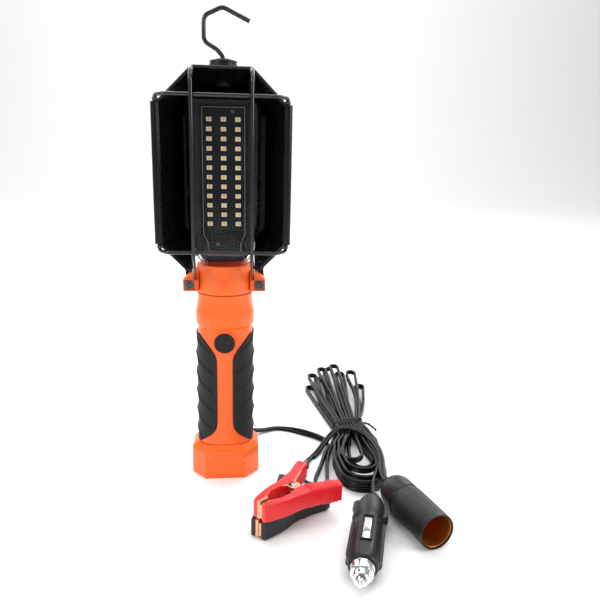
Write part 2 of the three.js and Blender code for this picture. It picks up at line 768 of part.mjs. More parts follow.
function makeHook() {
  const plateLow = hook.bossTop - hook.bossPlate;
  const wallTop = hoodTopAt(0);
  const solid = turned(
    [
      [0, wallTop - 12],
      [hookBore + 1, wallTop - 12],
      [hookBore + 1, wallTop + 3],
      [hook.stem, wallTop + 3],
      [hook.stem, plateLow],
      [hook.bossRadius, plateLow],
      [hook.bossRadius, hook.bossTop],
      [hook.hub, hook.bossTop],
      [hook.hub, hook.bossTop + hook.hubHeight],
      [0, hook.bossTop + hook.hubHeight],
    ],
    16,
  );
  // The skirt stands on the sloping wall: everything of its full radius below the wall's surface goes.
  const skirt = rod(hook.stem, wallTop - 12, wallTop + 4, 16);
  const surface = slab(
    [
      [-20, hoodTopAt(-20) + GAP],
      [20, hoodTopAt(20) + GAP],
      [20, wallTop - 30],
      [-20, wallTop - 30],
    ],
    -20,
    20,
  ).rotateX(Math.PI / 2).rotateZ(Math.PI / 2);
  const wire = rod(hook.wire + GAP, wallTop - 20, hook.bossTop + 5, 8);
  const chamber = rod(hookBore, wallTop - 20, plateLow - 0.6, 12);
  const spigotEnd = block([-20, -20, wallTop - 30], [20, 20, hoodTopAt(0) - 3]);
  part("hook_boss", cut(join(solid, cut(skirt, surface)), wire, chamber, spigotEnd), "blackPlastic");

  const retainer = hook.wire + 0.2;
  const washerTop = plateLow - 0.9;
  part(
    "hook_nut",
    ring([
      [retainer, washerTop - 3], [hookBore - GAP, washerTop - 3],
      [hookBore - GAP, washerTop], [retainer, washerTop],
    ], 8),
    "steel",
  );
  const route = [
    [0, 0, washerTop - 5],
    [0, 0, 294.2],
    [-4.3, 0, 298.8],
    [-12.4, 0, 303.3],
    [-12.4, 0, 318.7],
    [-0.4, 0, 324.4],
    [17.1, 0, 316.4],
  ];
  part("hook", tube(route, hook.wire, 5, 8, 3), "blackWire");
}

// ---------------------------------------------------------------------------------------------
// Lamp lead and its gland, the hank and its tie
// ---------------------------------------------------------------------------------------------
function makeLampLead() {
  const face = foot.halfDepth;
  const profile = [
    [0, face - foot.wall - 1.4],
    [gland.stem, face - foot.wall - 1.4],
    [gland.stem, face + GAP],
    [gland.flange, face + GAP],
    [gland.flange, face + 1.9],
    [4, face + 2.3],
    [3.2, face + gland.length],
    [0, face + gland.length],
  ];
  part("cord_gland", alongY(turned(profile, 16), gland.x, 0, gland.z), "blackRubber");
  const route = [
    [gland.x, face + gland.length + 2 * GAP, gland.z],
    [gland.x + 1, 36, 14.6],
    [20.5, 42, 6.6],
    [38, 62, 2.6],
    [53, 54.5, 2.6],
    [66, 45.5, 2.6],
    [76, 37, 2.6],
    [84.2, 32.6, 2.6],
  ];
  part("lamp_lead", tube(route, lead.lamp, 12, 8, 2), "cord");
}

// The bundle's outline on the floor: two lobes either side of the tie.
const lowerLobe = [
  [88.6, 30],
  [82, 15],
  [78, -8],
  [79, -30],
  [86, -46],
  [97, -54],
  [106, -48],
  [117, -34],
  [123.5, -14],
  [124, 6],
  [119.6, 28],
];
const upperLobe = [
  [119, 72],
  [129, 100],
  [136, 136],
  [137.5, 172],
  [130, 192],
  [116, 194],
  [100, 186],
  [84, 172],
  [76.5, 150],
  [77, 122],
  [83.5, 94],
  [90, 66],
];

function makeHank() {
  const turn = tie.turn * DEG;
  const across = (u) => [tie.x + u * Math.cos(turn), tie.y + u * Math.sin(turn)];
  const points = [...lowerLobe, across(tie.half), ...upperLobe, across(-tie.half)];
  const bundle = slab(points, hank.low, hank.low + hank.height);
  const tieBox = (half, low, high, width) =>
    block([-half, -width / 2, low], [half, width / 2, high]).rotateZ(turn).translate(tie.x, tie.y, 0);
  const groove = cut(tieBox(40, -5, 30, tie.width + 2 * GAP), tieBox(tie.half, tie.low, tie.high, 10));
  part("hank", cut(bundle, groove), "cord");

  const inside = tieBox(tie.half + GAP, tie.low - GAP, tie.high + GAP, 10);
  const wrap = GAP + tie.band;
  const outside = tieBox(tie.half + wrap, tie.low - wrap, tie.high + wrap, tie.width);
  const [tailX, tailY] = across(tie.half + 1);
  const tail = tube([[tailX, tailY, 6], [124, 50, 5], [125.5, 41, 4]], 0.7, 3, 6, 2);
  part("cable_tie", join(cut(outside, inside), tail), "blackPlastic");
}

// ---------------------------------------------------------------------------------------------
// Lighter plug. It is built along +Z from the cord entry and laid down on the floor.
// ---------------------------------------------------------------------------------------------
function laidDown(geometry, { entry, heading, height }) {
  return geometry.rotateY(Math.PI / 2).rotateZ(heading * DEG).translate(entry[0], entry[1], height);
}

// Up and down, seen along the plug, are -X and +X before it is laid down.
function makePlug() {
  const barrel = 73;
  const grip = 33;
  const shell = turned(
    [
      [0, 0],
      [2.9, 0],
      [4.2, 3],
      [7.2, 8],
      [9, 15],
      [9.3, 24],
      [8, 31],
      [9.3, grip],
      [9.3, barrel - 6],
      [8.4, barrel],
      [0, barrel],
    ],
    20,
  );
  const bore = rod(plug.bore, 20, barrel + 1, 16);
  const boreEnd = rod(plug.fuseRadius + 1, 14, 24, 12);
  const wing = (side) => slab([
    [-3.5, side * 6], [3.5, side * 6], [2.6, side * 10.7], [-2.6, side * 10.7],
  ], 12, 25);
  const wings = join(outward(wing(-1)), outward(wing(1)));
  const rail = (side) => block(
    [-2.4, side < 0 ? -plug.radius : 7.5, grip + 1],
    [2.4, side < 0 ? -7.5 : plug.radius, barrel - 3],
  );
  const slot = block([-plug.radius - 2, -3, 35], [plug.radius + 2, 3, 58]);
  part(
    "plug_body",
    laidDown(cut(join(shell, wings, rail(-1), rail(1)), bore, boreEnd, slot), plug),
    "blackPlastic",
  );

  const neck = plug.tipRadius + GAP;
  const cap = ring(
    [
      [neck, barrel - 5],
      [plug.bore - GAP, barrel - 5],
      [plug.bore - GAP, barrel + 1.5],
      [6.4, barrel + 3],
      [6.4, barrel + 6],
      [4.9, barrel + 7.5],
      [4.9, barrel + 10],
      [neck, barrel + 10],
    ],
    16,
  );
  part("plug_cap", laidDown(cap, plug), "chrome");

  const flange = barrel - 5 - GAP;
  const tip = turned(
    [
      [0, flange - 4],
      [4.6, flange - 4],
      [4.6, flange],
      [plug.tipRadius, flange],
      [plug.tipRadius, plug.length - 1.5],
      [1.2, plug.length],
      [0, plug.length],
    ],
    12,
  );
  part("plug_tip", laidDown(tip, plug), "chrome");
  const fuseTop = flange - 4 - GAP;
  part("plug_fuse", laidDown(rod(plug.fuseRadius, fuseTop - 30, fuseTop, 12), plug), "glass");
  const springTop = fuseTop - 30 - GAP;
  const r = plug.fuseRadius;
  const spring = ring([
    [r - 1, springTop - 8], [r, springTop - 8], [r, springTop], [r - 1, springTop],
  ], 10);
  part("plug_spring", laidDown(spring, plug), "steel");

  // Side contacts: bowed strips that stand out of the two slots.
  const bow = [
    [36, 7.9],
    [40, 9.2],
    [46.5, 9.9],
    [53, 9.2],
    [57, 7.9],
    [57, 7.1],
    [52.6, 8.4],
    [46.5, 9.1],
    [40.4, 8.4],
    [36, 7.1],
  ];
  const strip = (up) =>
    outward(slab(bow.map(([s, w]) => [-up * w, s]), -2.2, 2.2).rotateX(Math.PI / 2));
  part("plug_contact_upper", laidDown(strip(1), plug), "steel");
  part("plug_contact_lower", laidDown(strip(-1), plug), "steel");
}

// ---------------------------------------------------------------------------------------------
// Lighter socket: built the same way, open at its far end
// ---------------------------------------------------------------------------------------------
function makeSocket() {
  const linerInner = plug.radius + 0.2;
  const inner = linerInner + socket.liner + GAP;
  const outer = inner + socket.wall;
  const floor = 16;
  const casing = turned(
    [
      [0, 4],
      [8.6, 4],
      [outer - 1.4, 7],
      [outer - 0.25, 11],
      [outer - 0.25, 21],
      [outer - 0.6, 22],
      [outer - 0.6, 23.5],
      [outer, 25],
      [outer, socket.length],
      [0, socket.length],
    ],
    20,
  );
  const shell = cut(casing, rod(inner, floor, socket.length + 1, 20), rod(1.9, 0, floor + 1, 8));
  part("socket_shell", laidDown(shell, socket), "blackPlastic");
  const liner = ring(
    [
      [linerInner, floor + 4],
      [linerInner + socket.liner, floor + 4],
      [linerInner + socket.liner, socket.length - 1],
      [linerInner, socket.length - 1],
    ],
    20,
  );
  part("socket_liner", laidDown(liner, socket), "copper");
  const contact = turned([
    [0, 6], [1.6, 6], [1.6, floor + GAP], [4, floor + GAP],
    [4, floor + 2], [2, floor + 3.4], [0, floor + 3.4],
  ], 12);
  part("socket_contact", laidDown(contact, socket), "steel");
  const boot = turned([[0, -4], [2.8, -4], [3.6, 1], [4.6, 1], [4.6, 4 - GAP], [0, 4 - GAP]], 12);
  part("socket_boot", laidDown(boot, socket), "blackRubber");
}

// ---------------------------------------------------------------------------------------------
// Battery clips. Built with the nose at the origin and the handles towards +X, one jaw each side.
// ---------------------------------------------------------------------------------------------
const sleeveOutline = [
  [0, 2],
  [8, 2.2],
  [13, 4.6],
  [22, 5.2],
  [27, 2.6],
  [33, 2.6],
  [36, 3.8],
  [42, 7.2],
  [56.7, 14.2],
  [53, 21.3],
  [40, 14.6],
  [25, 10.9],
  [13, 9.4],
  [3, 6.5],
  [0, 5.5],
];
const sleevePocket = [
  [-1, -4],
  [40, -4],
  [51.8, 11],
  [51.2, 13],
  [49.5, 18.4],
  [40, 13.8],
  [25, 10.15],
  [13, 8.65],
  [3.1, 5.75],
  [-1, 4.4],
];
const jawOutline = [
  [0.3, 0.15],
  [8, 0.15],
  [10, 2.4],
  [14, 5.2],
  [22, 5.8],
  [26.5, 2.2],
  [33.5, 2.2],
  [36.4, 4.4],
  [50.9, 11.4],
  [48.9, 17.6],
  [40, 13.4],
  [25, 9.8],
  [13, 8.3],
  [3.2, 5.4],
  [0.3, 4.6],
];
const jawHollow = [
  [8.5, -8],
  [8.5, 5.9],
  [13, 7.3],
  [25, 8.8],
  [40, 12.4],
  [55, 19.4],
  [60, 0],
];

function makeClip(name, look, nose, heading, height) {
  const plate = clip.plate;
  const outerHalf = clip.halfHeight - clip.sleeveWall - GAP; // outside of the outer jaw's plates
  const innerHalf = outerHalf - plate - 0.4; // outside of the inner jaw's plates
  const lay = (geometry) => outward(geometry.rotateZ(heading * DEG).translate(nose[0], nose[1], height));
  const tall = (points, half) => slab(points, -half, half);
  const near = (geometry) => outward(geometry.scale(1, -1, 1));
  const pivotHole = () => rod(clip.rivet + GAP, -20, 20, 8).translate(clip.pivot, 0, 0);

  const jaw = (half) => {
    const ear = rod(clip.ear, -half, half, 10).translate(clip.pivot, 0, 0);
    const bridge = tall([
      [clip.pivot - 3, 0], [clip.pivot + 3, 0], [clip.pivot + 3, 3], [clip.pivot - 3, 3],
    ], half);
    return cut(
      join(outward(tall(jawOutline, half)), ear, bridge),
      outward(tall(jawHollow, half - plate)),
      pivotHole(),
    );
  };
  const sleeve = (half) => {
    const earRoom = rod(clip.ear + GAP, -outerHalf - GAP, outerHalf + GAP, 12).translate(clip.pivot, 0, 0);
    const pocket = outward(tall(sleevePocket, half + GAP));
    return cut(outward(tall(sleeveOutline, clip.halfHeight)), pocket, earRoom);
  };
  part(`${name}_jaw_far`, lay(jaw(outerHalf)), "copper");
  part(`${name}_sleeve_far`, lay(sleeve(outerHalf)), look);
  part(`${name}_jaw_near`, lay(near(jaw(innerHalf))), "copper");
  part(`${name}_sleeve_near`, lay(near(sleeve(innerHalf))), look);

  const head = outerHalf + THIN;
  const rivet = [
    [0, -head - 0.6],
    [2.2, -head - 0.6],
    [2.2, -head],
    [clip.rivet, -head],
    [clip.rivet, head],
    [2.2, head],
    [2.2, head + 0.6],
    [0, head + 0.6],
  ];
  part(`${name}_rivet`, lay(turned(rivet, 8).translate(clip.pivot, 0, 0)), "steel");
  const coilHalf = innerHalf - plate - 0.5;
  const inner = clip.rivet + GAP;
  const coil = ring([
    [inner, -coilHalf], [inner + 1.4, -coilHalf], [inner + 1.4, coilHalf], [inner, coilHalf],
  ], 10)
    .translate(clip.pivot, 0, 0);
  const leg = (side) =>
    block([2, -0.6, -0.6], [9, 0.6, 0.6]).rotateZ(side * 22 * DEG).translate(clip.pivot, 0, side * 1.5);
  part(`${name}_spring`, lay(join(coil, leg(1), leg(-1))), "steel");
}

const blackClip = { nose: [22, -93], heading: 52, height: clip.halfHeight + 0.05 };
const redClip = { nose: [22.6, -94.4], heading: 39.5, height: 3 * clip.halfHeight + 0.05 + GAP };

// ---------------------------------------------------------------------------------------------
// The short leads of the kit
// ---------------------------------------------------------------------------------------------
function makeLeads() {
  const toPlug = [[102.6, -52.6, 8.4], [102.4, -58.6, plug.height], [100.4, -66.1, plug.height]];
  part("plug_lead", tube(toPlug, lead.lamp, 6, 8, 2), "cord");
  const toSocket = [[111.4, -44.9, 9.6], [112, -47.4, 11.4], [112.9, -49.7, socket.height]];
  part("socket_lead", tube(toSocket, lead.lamp, 6, 8, 2), "cord");
  const toClips = [[82, 20.2, 2.6], [77, 16.5, 2.6], [67.3, 5.2, 2.6]];
  part("adapter_lead", tube(toClips, lead.lamp, 8, 8, 2), "cord");
  part(
    "adapter_bight",
    tube([
      [76.6, 3, 2.6], [73.2, -14, 2.6], [65.5, -36, 2.6], [71.5, -41, 2.6], [74.9, -26, 2.6],
    ], lead.lamp, 6, 8, 2),
    "cord",
  );
  part(
    "lead_red",
    tube([[66.9, 4.2, 3.6], [63, -8, 6], [59.5, -26, 17], [58.3, -38.6, 20.5]], lead.core, 8, 8, 2),
    "cord",
  );
  part(
    "lead_black",
    tube([
      [66, 5.2, 1.5], [59, -3, 1.5], [56.2, -18, 1.5],
      [58, -34, 3], [67, -44, 6.8], [71.6, -51.8, 6.8],
    ], lead.core, 8, 8, 2),
    "cord",
  );
}

makeFoot();
makeHandle();
makeHandleScrews();
makeSwitch();
makeDriver();
makeWires();
makeCollar();
makeShield();
makeGuard();
makeHead();
makeHook();
makeLampLead();
makeHank();
makePlug();
makeSocket();
makeClip("black_clip", "blackPlastic", blackClip.nose, blackClip.heading, blackClip.height);
makeClip("red_clip", "red", redClip.nose, redClip.heading, redClip.height);
makeLeads();

export default workLight;
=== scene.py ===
"""Visual model of a caged LED work light with its lighter plug, lighter socket and battery clips.

Lengths are in millimetres until a mesh is made; the row frame is +Z up with the lamp facing -Y.
"""

import logging
import math
from dataclasses import dataclass, field
from enum import Enum

import bpy
from mathutils import Matrix, Vector


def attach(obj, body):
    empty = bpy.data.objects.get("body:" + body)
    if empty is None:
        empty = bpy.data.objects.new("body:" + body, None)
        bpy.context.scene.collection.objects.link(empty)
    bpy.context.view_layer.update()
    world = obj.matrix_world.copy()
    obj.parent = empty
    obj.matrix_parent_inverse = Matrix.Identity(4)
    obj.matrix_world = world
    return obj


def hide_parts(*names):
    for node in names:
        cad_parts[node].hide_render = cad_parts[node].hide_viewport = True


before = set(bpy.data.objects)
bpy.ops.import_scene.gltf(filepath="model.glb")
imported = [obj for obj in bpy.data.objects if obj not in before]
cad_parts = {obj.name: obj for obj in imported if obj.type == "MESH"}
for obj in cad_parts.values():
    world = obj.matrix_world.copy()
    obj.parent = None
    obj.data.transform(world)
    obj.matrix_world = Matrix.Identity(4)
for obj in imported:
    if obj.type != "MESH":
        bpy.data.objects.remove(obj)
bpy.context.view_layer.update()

LOG = logging.getLogger("work_light")
MM = 0.001
TURN = 2 * math.pi
Profile = list[tuple[float, float]]
ON_EDGE = Matrix(((0, 0, -1, 0), (0, 1, 0, 0), (1, 0, 0, 0),
        (0, 0, 0, 1)))  # stands a flat outline on its edge


# ----------------------------------------------------------------------
# Shapes: plain vertices and faces, before they become pieces
# ----------------------------------------------------------------------
class Shape:
    """Vertices in millimetres and the faces between them."""

    def __init__(self, verts: list, faces: list) -> None:
        """Keep the vertices as vectors.

        Args:
            verts: Points as 3-number sequences.
            faces: Tuples of vertex indices, counter-clockwise from outside.
        """
        self.verts = [Vector(v) for v in verts]
        self.faces = [tuple(f) for f in faces]

    def moved(self, matrix: Matrix) -> "Shape":
        """Return the shape carried by a matrix."""
        flip = matrix.determinant() < 0
        faces = [f[::-1] if flip else f for f in self.faces]
        return Shape([matrix @ v for v in self.verts], faces)

    def mirrored(self) -> "Shape":
        """Return the shape mirrored across x = 0."""
        return self.moved(Matrix.Scale(-1, 4, (1, 0, 0)))

    def plus(self, *others: "Shape") -> "Shape":
        """Return this shape and others as one.

        Args:
            *others: Shapes that are added without welding.

        Returns:
            One shape that holds every loose part.
        """
        verts, faces = list(self.verts), list(self.faces)
        for other in others:
            base = len(verts)
            verts += other.verts
            faces += [tuple(i + base for i in f) for f in other.faces]
        return Shape(verts, faces)


def loft(rings: list, caps: bool = True, closed: bool = False) -> Shape:
    """Join rings of equal count into one skin.

    Args:
        rings: Lists of points, each ring counter-clockwise about the direction of travel.
        caps: Whether the first and last ring are filled.
        closed: Whether the last ring joins the first.

    Returns:
        The skinned shape.
    """
    count = len(rings[0])
    verts = [p for ring in rings for p in ring]
    faces = []
    for i in range(len(rings) if closed else len(rings) - 1):
        a, b = i * count, ((i + 1) % len(rings)) * count
        for j in range(count):
            k = (j + 1) % count
            faces.append((a + j, a + k, b + k, b + j))
    if caps and not closed:
        faces.append(tuple(range(count))[::-1])
        last = (len(rings) - 1) * count
        faces.append(tuple(last + j for j in range(count)))
    return Shape(verts, faces)


def lathe(profile: Profile, sides: int = 48, ring: bool = False) -> Shape:
    """Turn a profile about +Z.

    Args:
        profile: Radius and height pairs, rising along the outside.
        sides: Number of facets round the axis.
        ring: Whether the profile closes on itself; otherwise its ends are filled.

    Returns:
        The turned shape.
    """
    rings = []
    for radius, z in profile:
        reach = max(radius, 0.01)
        rings.append([(reach * math.cos(TURN * i / sides), reach * math.sin(TURN * i / sides), z)
                      for i in range(sides)])
    return loft(rings, closed=ring)


def softened(profile: Profile, radius: float, steps: int = 3, closed: bool = False) -> Profile:
    """Round the corners of a profile.

    Args:
        profile: Points in a plane.
        radius: Corner radius, made smaller where there is no room.
        steps: Segments in each corner.
        closed: Whether the last point joins the first.

    Returns:
        The profile with every corner replaced by an arc.
    """
    points = [Vector(p).to_3d() if len(p) == 2 else Vector(p) for p in profile]
    count = len(points)
    out = []
    for i, here in enumerate(points):
        if not closed and i in (0, count - 1):
            out.append(here)
            continue
        back, ahead = points[i - 1] - here, points[(i + 1) % count] - here
        if back.length < 1e-6 or ahead.length < 1e-6:
            out.append(here)
            continue
        half = back.angle(ahead) / 2
        if half > 1.55:
            out.append(here)
            continue
        trim = min(radius / math.tan(half), 0.45 * back.length, 0.45 * ahead.length)
        start, end = here + back.normalized() * trim, here + ahead.normalized() * trim
        for k in range(steps + 1):
            t = k / steps
            out.append(start * (1 - t) ** 2 + here * (2 * t * (1 - t)) + end * t * t)
    return [tuple(p) if len(profile[0]) == 3 else (p.x, p.y) for p in out]


def prism(outline: Profile, low: float, high: float, edge: float = 0.3) -> Shape:
    """Raise a flat outline with small bevels at both ends.

    Args:
        outline: Counter-clockwise points in X and Y.
        low: Height of the bottom face.
        high: Height of the top face.
        edge: Bevel size.

    Returns:
        The closed solid.
    """
    inner = offset(outline, -edge)
    rings = [
        [(x, y, low) for x, y in inner],
        [(x, y, low + edge) for x, y in outline],
        [(x, y, high - edge) for x, y in outline],
        [(x, y, high) for x, y in inner],
    ]
    return loft(rings)


def offset(outline: Profile, amount: float) -> Profile:
    """Move a counter-clockwise outline outwards by an amount, along its corner normals."""
    count = len(outline)
    out = []
    for i, (x, y) in enumerate(outline):
        ax, ay = outline[i - 1]
        bx, by = outline[(i + 1) % count]
        first, second = Vector((y - ay, ax - x)), Vector((by - y, x - bx))
        if first.length < 1e-9 or second.length < 1e-9:
            first = second = first if first.length > second.length else second
        normal = first.normalized() + second.normalized()
        if normal.length < 0.2:
            normal = first.normalized()
        normal.normalize()
        spread = max(0.5, normal.dot(second.normalized()))
        out.append((x + normal.x * amount / spread, y + normal.y * amount / spread))
    return out


def upright(outline: Profile, front: float, back: float, edge: float = 0.3) -> Shape:
    """Raise an outline drawn in X and Z from the front to the back.

    Args:
        outline: Counter-clockwise points seen from the front.
        front: Y of the front face.
        back: Y of the back face.
        edge: Bevel size.

    Returns:
        The closed solid.
    """
    turn = Matrix.Translation((0, back, 0)) @ Matrix.Rotation(math.pi / 2, 4, "X")
    return prism(outline, 0, back - front, edge).moved(turn)


def sweep(path: list, section: Profile, wide: list | None = None, caps: bool = True) -> Shape:
    """Carry a section along a path.

    Args:
        path: Points of the centre line.
        section: Counter-clockwise points; the first number lies along the wide direction.
        wide: The wide direction at each point, or None for one that turns as little as it can.
        caps: Whether the ends are filled.

    Returns:
        The swept shape.
    """
    points = [Vector(p) for p in path]
    count = len(points)
    tangents = [
        (points[min(i + 1, count - 1)] - points[max(i - 1, 0)]).normalized() for i in range(count)
    ]
    side = tangents[0].orthogonal().normalized()
    rings = []
    for i, (here, tangent) in enumerate(zip(points, tangents)):
        if wide is not None:
            side = Vector(wide[i])
        elif i:
            side = tangents[i - 1].rotation_difference(tangent) @ side
        side = (side - tangent * side.dot(tangent)).normalized()
        other = tangent.cross(side)
        rings.append([here + side * a + other * b for a, b in section])
    return loft(rings, caps=caps)


def circle(radius: float, sides: int = 12) -> Profile:
    """Return a round section."""
    return [(radius * math.cos(TURN * i / sides), radius * math.sin(TURN * i / sides)) for i in range(sides)]


def smooth_path(points: list, step: float) -> list:
    """Pass a smooth curve through points and space it evenly.

    Args:
        points: Points of any dimension, in order.
        step: Distance between the points returned.

    Returns:
        Points on a centripetal Catmull-Rom curve.
    """
    stops = [Vector(p) for p in points]
    stops = [stops[0] * 2 - stops[1], *stops, stops[-1] * 2 - stops[-2]]
    dense = []
    for i in range(1, len(stops) - 2):
        p0, p1, p2, p3 = stops[i - 1 : i + 3]
        t1 = max((p1 - p0).length, 1e-6) ** 0.5
        t2 = t1 + max((p2 - p1).length, 1e-6) ** 0.5
        t3 = t2 + max((p3 - p2).length, 1e-6) ** 0.5
        for k in range(16):
            t = t1 + (t2 - t1) * k / 16
            a1 = p0 * ((t1 - t) / t1) + p1 * (t / t1)
            a2 = p1 * ((t2 - t) / (t2 - t1)) + p2 * ((t - t1) / (t2 - t1))
            a3 = p2 * ((t3 - t) / (t3 - t2)) + p3 * ((t - t2) / (t3 - t2))
            b1 = a1 * ((t2 - t) / t2) + a2 * (t / t2)
            b2 = a2 * ((t3 - t) / (t3 - t1)) + a3 * ((t - t1) / (t3 - t1))
            dense.append(b1 * ((t2 - t) / (t2 - t1)) + b2 * ((t - t1) / (t2 - t1)))
    dense.append(stops[-2])
    return respaced(dense, step)


def respaced(dense: list, step: float) -> list:
    """Return points at equal distances along a polyline."""
    total = path_length(dense)
    count = max(2, round(total / step))
    out, travelled, target = [dense[0]], 0.0, total / count
    for a, b in zip(dense, dense[1:]):
        span = (b - a).length
        while travelled + span >= target * len(out) - 1e-9 and len(out) < count:
            out.append(a.lerp(b, (target * len(out) - travelled) / span if span else 0))
        travelled += span
    out.append(dense[-1])
    return out


def path_length(points: list) -> float:
    """Return the length of a polyline in its first three numbers."""
    return sum((Vector(b[:3]) - Vector(a[:3])).length for a, b in zip(points, points[1:]))


def placed(origin: tuple, heading: float, along: str = "X") -> Matrix:
    """Return the matrix that lays a shape down on the floor.

    Args:
        origin: Where the shape's own origin goes.
        heading: Degrees from +X, about +Z.
        along: The shape's own axis that points along the heading, X or Z.

    Returns:
        The placing matrix.
    """
    turn = Matrix.Rotation(math.radians(heading), 4, "Z")
    if along == "Z":
        turn = turn @ Matrix.Rotation(math.pi / 2, 4, "Y")
    return Matrix.Translation(origin) @ turn


def facing_front(x: float, z: float) -> Matrix:
    """Return the matrix that turns a shape's +Z to +Y at a place in X and Z."""
    return Matrix.Translation((x, 0, z)) @ Matrix.Rotation(-math.pi / 2, 4, "X")


def box_shape(low: tuple, high: tuple, edge: float = 0.2) -> Shape:
    """Return a block with bevelled vertical and horizontal edges."""
    outline = softened(
        [(low[0], low[1]), (high[0], low[1]), (high[0], high[1]), (low[0], high[1])], edge, 2, True
    )
    return prism(outline, low[2], high[2], edge)


def bead(centre: tuple, radius: float, squash: float = 0.8, sides: int = 12) -> Shape:
    """Return a small rounded blob, such as a weld."""
    profile = [(radius * math.sin(a), -radius * squash * math.cos(a))
               for a in (0.15, 0.6, 1.1, 1.57, 2.05, 2.55, 3.0)]
    return lathe(profile, sides).moved(Matrix.Translation(centre))


# ----------------------------------------------------------------------
# Finishes
# ----------------------------------------------------------------------
class Wear(Enum):
    """How much an edge has rubbed."""

    NONE = 0.0
    LIGHT = 0.25
    SOME = 0.6


def new_group(name: str, inputs: dict, outputs: dict) -> tuple:
    """Make an empty shader node group with named sockets.

    Args:
        name: Name of the group.
        inputs: Socket names and defaults; a 4-tuple is a colour.
        outputs: Socket names and kinds, colour, value or vector.

    Returns:
        The group, its input node and its output node.
    """
    group = bpy.data.node_groups.new(name, "ShaderNodeTree")
    for label, default in inputs.items():
        kind = "NodeSocketColor" if isinstance(default, tuple) else "NodeSocketFloat"
        group.interface.new_socket(label, in_out="INPUT", socket_type=kind).default_value = default
    kinds = {"colour": "NodeSocketColor", "value": "NodeSocketFloat", "vector": "NodeSocketVector"}
    for label, kind in outputs.items():
        group.interface.new_socket(label, in_out="OUTPUT", socket_type=kinds[kind])
    return group, group.nodes.new("NodeGroupInput"), group.nodes.new("NodeGroupOutput")


def math_node(tree: bpy.types.NodeTree, operation: str, a: object, b: object, clamp: bool = False) -> object:
    """Add a math node whose two inputs are sockets or numbers, and return its output."""
    node = tree.nodes.new("ShaderNodeMath")
    node.operation = operation
    node.use_clamp = clamp
    for slot, value in enumerate((a, b)):
        if isinstance(value, (int, float)):
            node.inputs[slot].default_value = value
        else:
            tree.links.new(value, node.inputs[slot])
    return node.outputs[0]


def mix_node(tree: bpy.types.NodeTree, factor: object, a: object, b: object) -> object:
    """Add a colour mix node and return its colour output."""
    node = tree.nodes.new("ShaderNodeMix")
    node.data_type = "RGBA"
    for label, value in ((0, factor), (6, a), (7, b)):
        if isinstance(value, (int, float, tuple)):
            node.inputs[label].default_value = value
        else:
            tree.links.new(value, node.inputs[label])
    return node.outputs[2]


def noise_node(tree: bpy.types.NodeTree, scale: object, detail: float = 3.0,
               stretch: tuple = (1, 1, 1)) -> object:
    """Add a noise texture in object coordinates and return its value output."""
    place = tree.nodes.new("ShaderNodeTexCoord")
    mapping = tree.nodes.new("ShaderNodeMapping")
    mapping.inputs["Scale"].default_value = stretch
    noise = tree.nodes.new("ShaderNodeTexNoise")
    noise.inputs["Detail"].default_value = detail
    tree.links.new(place.outputs["Object"], mapping.inputs["Vector"])
    tree.links.new(mapping.outputs[0], noise.inputs["Vector"])
    if isinstance(scale, (int, float)):
        noise.inputs["Scale"].default_value = scale
    else:
        tree.links.new(scale, noise.inputs["Scale"])
    return noise.outputs[0]


def surface_grain_group() -> bpy.types.NodeTree:
    """Build the group that gives a surface its tint drift, gloss drift and fine grain."""
    group, source, sink = new_group(
        "surface_grain",
        {"Colour": (1, 1, 1, 1), "Tint": (1, 1, 1, 1), "Tint Amount": 0.3, "Drift Scale": 40.0,
         "Roughness": 0.5, "Roughness Spread": 0.1, "Grain Scale": 2500.0},
        {"Colour": "colour", "Roughness": "value", "Height": "value"},
    )
    get = source.outputs
    drift = noise_node(group, get["Drift Scale"], 4.0)
    fine = noise_node(group, get["Grain Scale"], 2.0)
    amount = math_node(group, "MULTIPLY", drift, get["Tint Amount"], True)
    group.links.new(mix_node(group, amount, get["Colour"], get["Tint"]), sink.inputs["Colour"])
    swing = math_node(group, "MULTIPLY", math_node(group, "SUBTRACT", drift, 0.5), get["Roughness Spread"])
    group.links.new(math_node(group, "ADD", get["Roughness"], swing, True), sink.inputs["Roughness"])
    group.links.new(fine, sink.inputs["Height"])
    return group


def edge_wear_group() -> bpy.types.NodeTree:
    """Build the group that masks rubbed edges, broken up by scuffs."""
    group, source, sink = new_group("edge_wear", {"Amount": 0.3, "Scuff Scale": 300.0}, {"Mask": "value"})
    sharp = group.nodes.new("ShaderNodeNewGeometry").outputs["Pointiness"]
    raised = math_node(group, "MULTIPLY", math_node(group, "SUBTRACT", sharp, 0.53), 9.0, True)
    scuffs = noise_node(group, source.outputs["Scuff Scale"], 5.0)
    broken = math_node(group, "MULTIPLY", raised, scuffs, True)
    mask = math_node(group, "MULTIPLY", broken, source.outputs["Amount"], True)
    group.links.new(mask, sink.inputs["Mask"])
    return group


GROUPS = {"surface_grain": surface_grain_group(), "edge_wear": edge_wear_group()}


# The frame's own materials are named after the slots, so a finish's material ends differently.
FINISH_END = "_finish"


def new_material(label: str) -> tuple:
    """Return a new material, its node tree and its shader."""
    made = bpy.data.materials.new(label)
    made.use_nodes = True
    return made, made.node_tree, made.node_tree.nodes["Principled BSDF"]


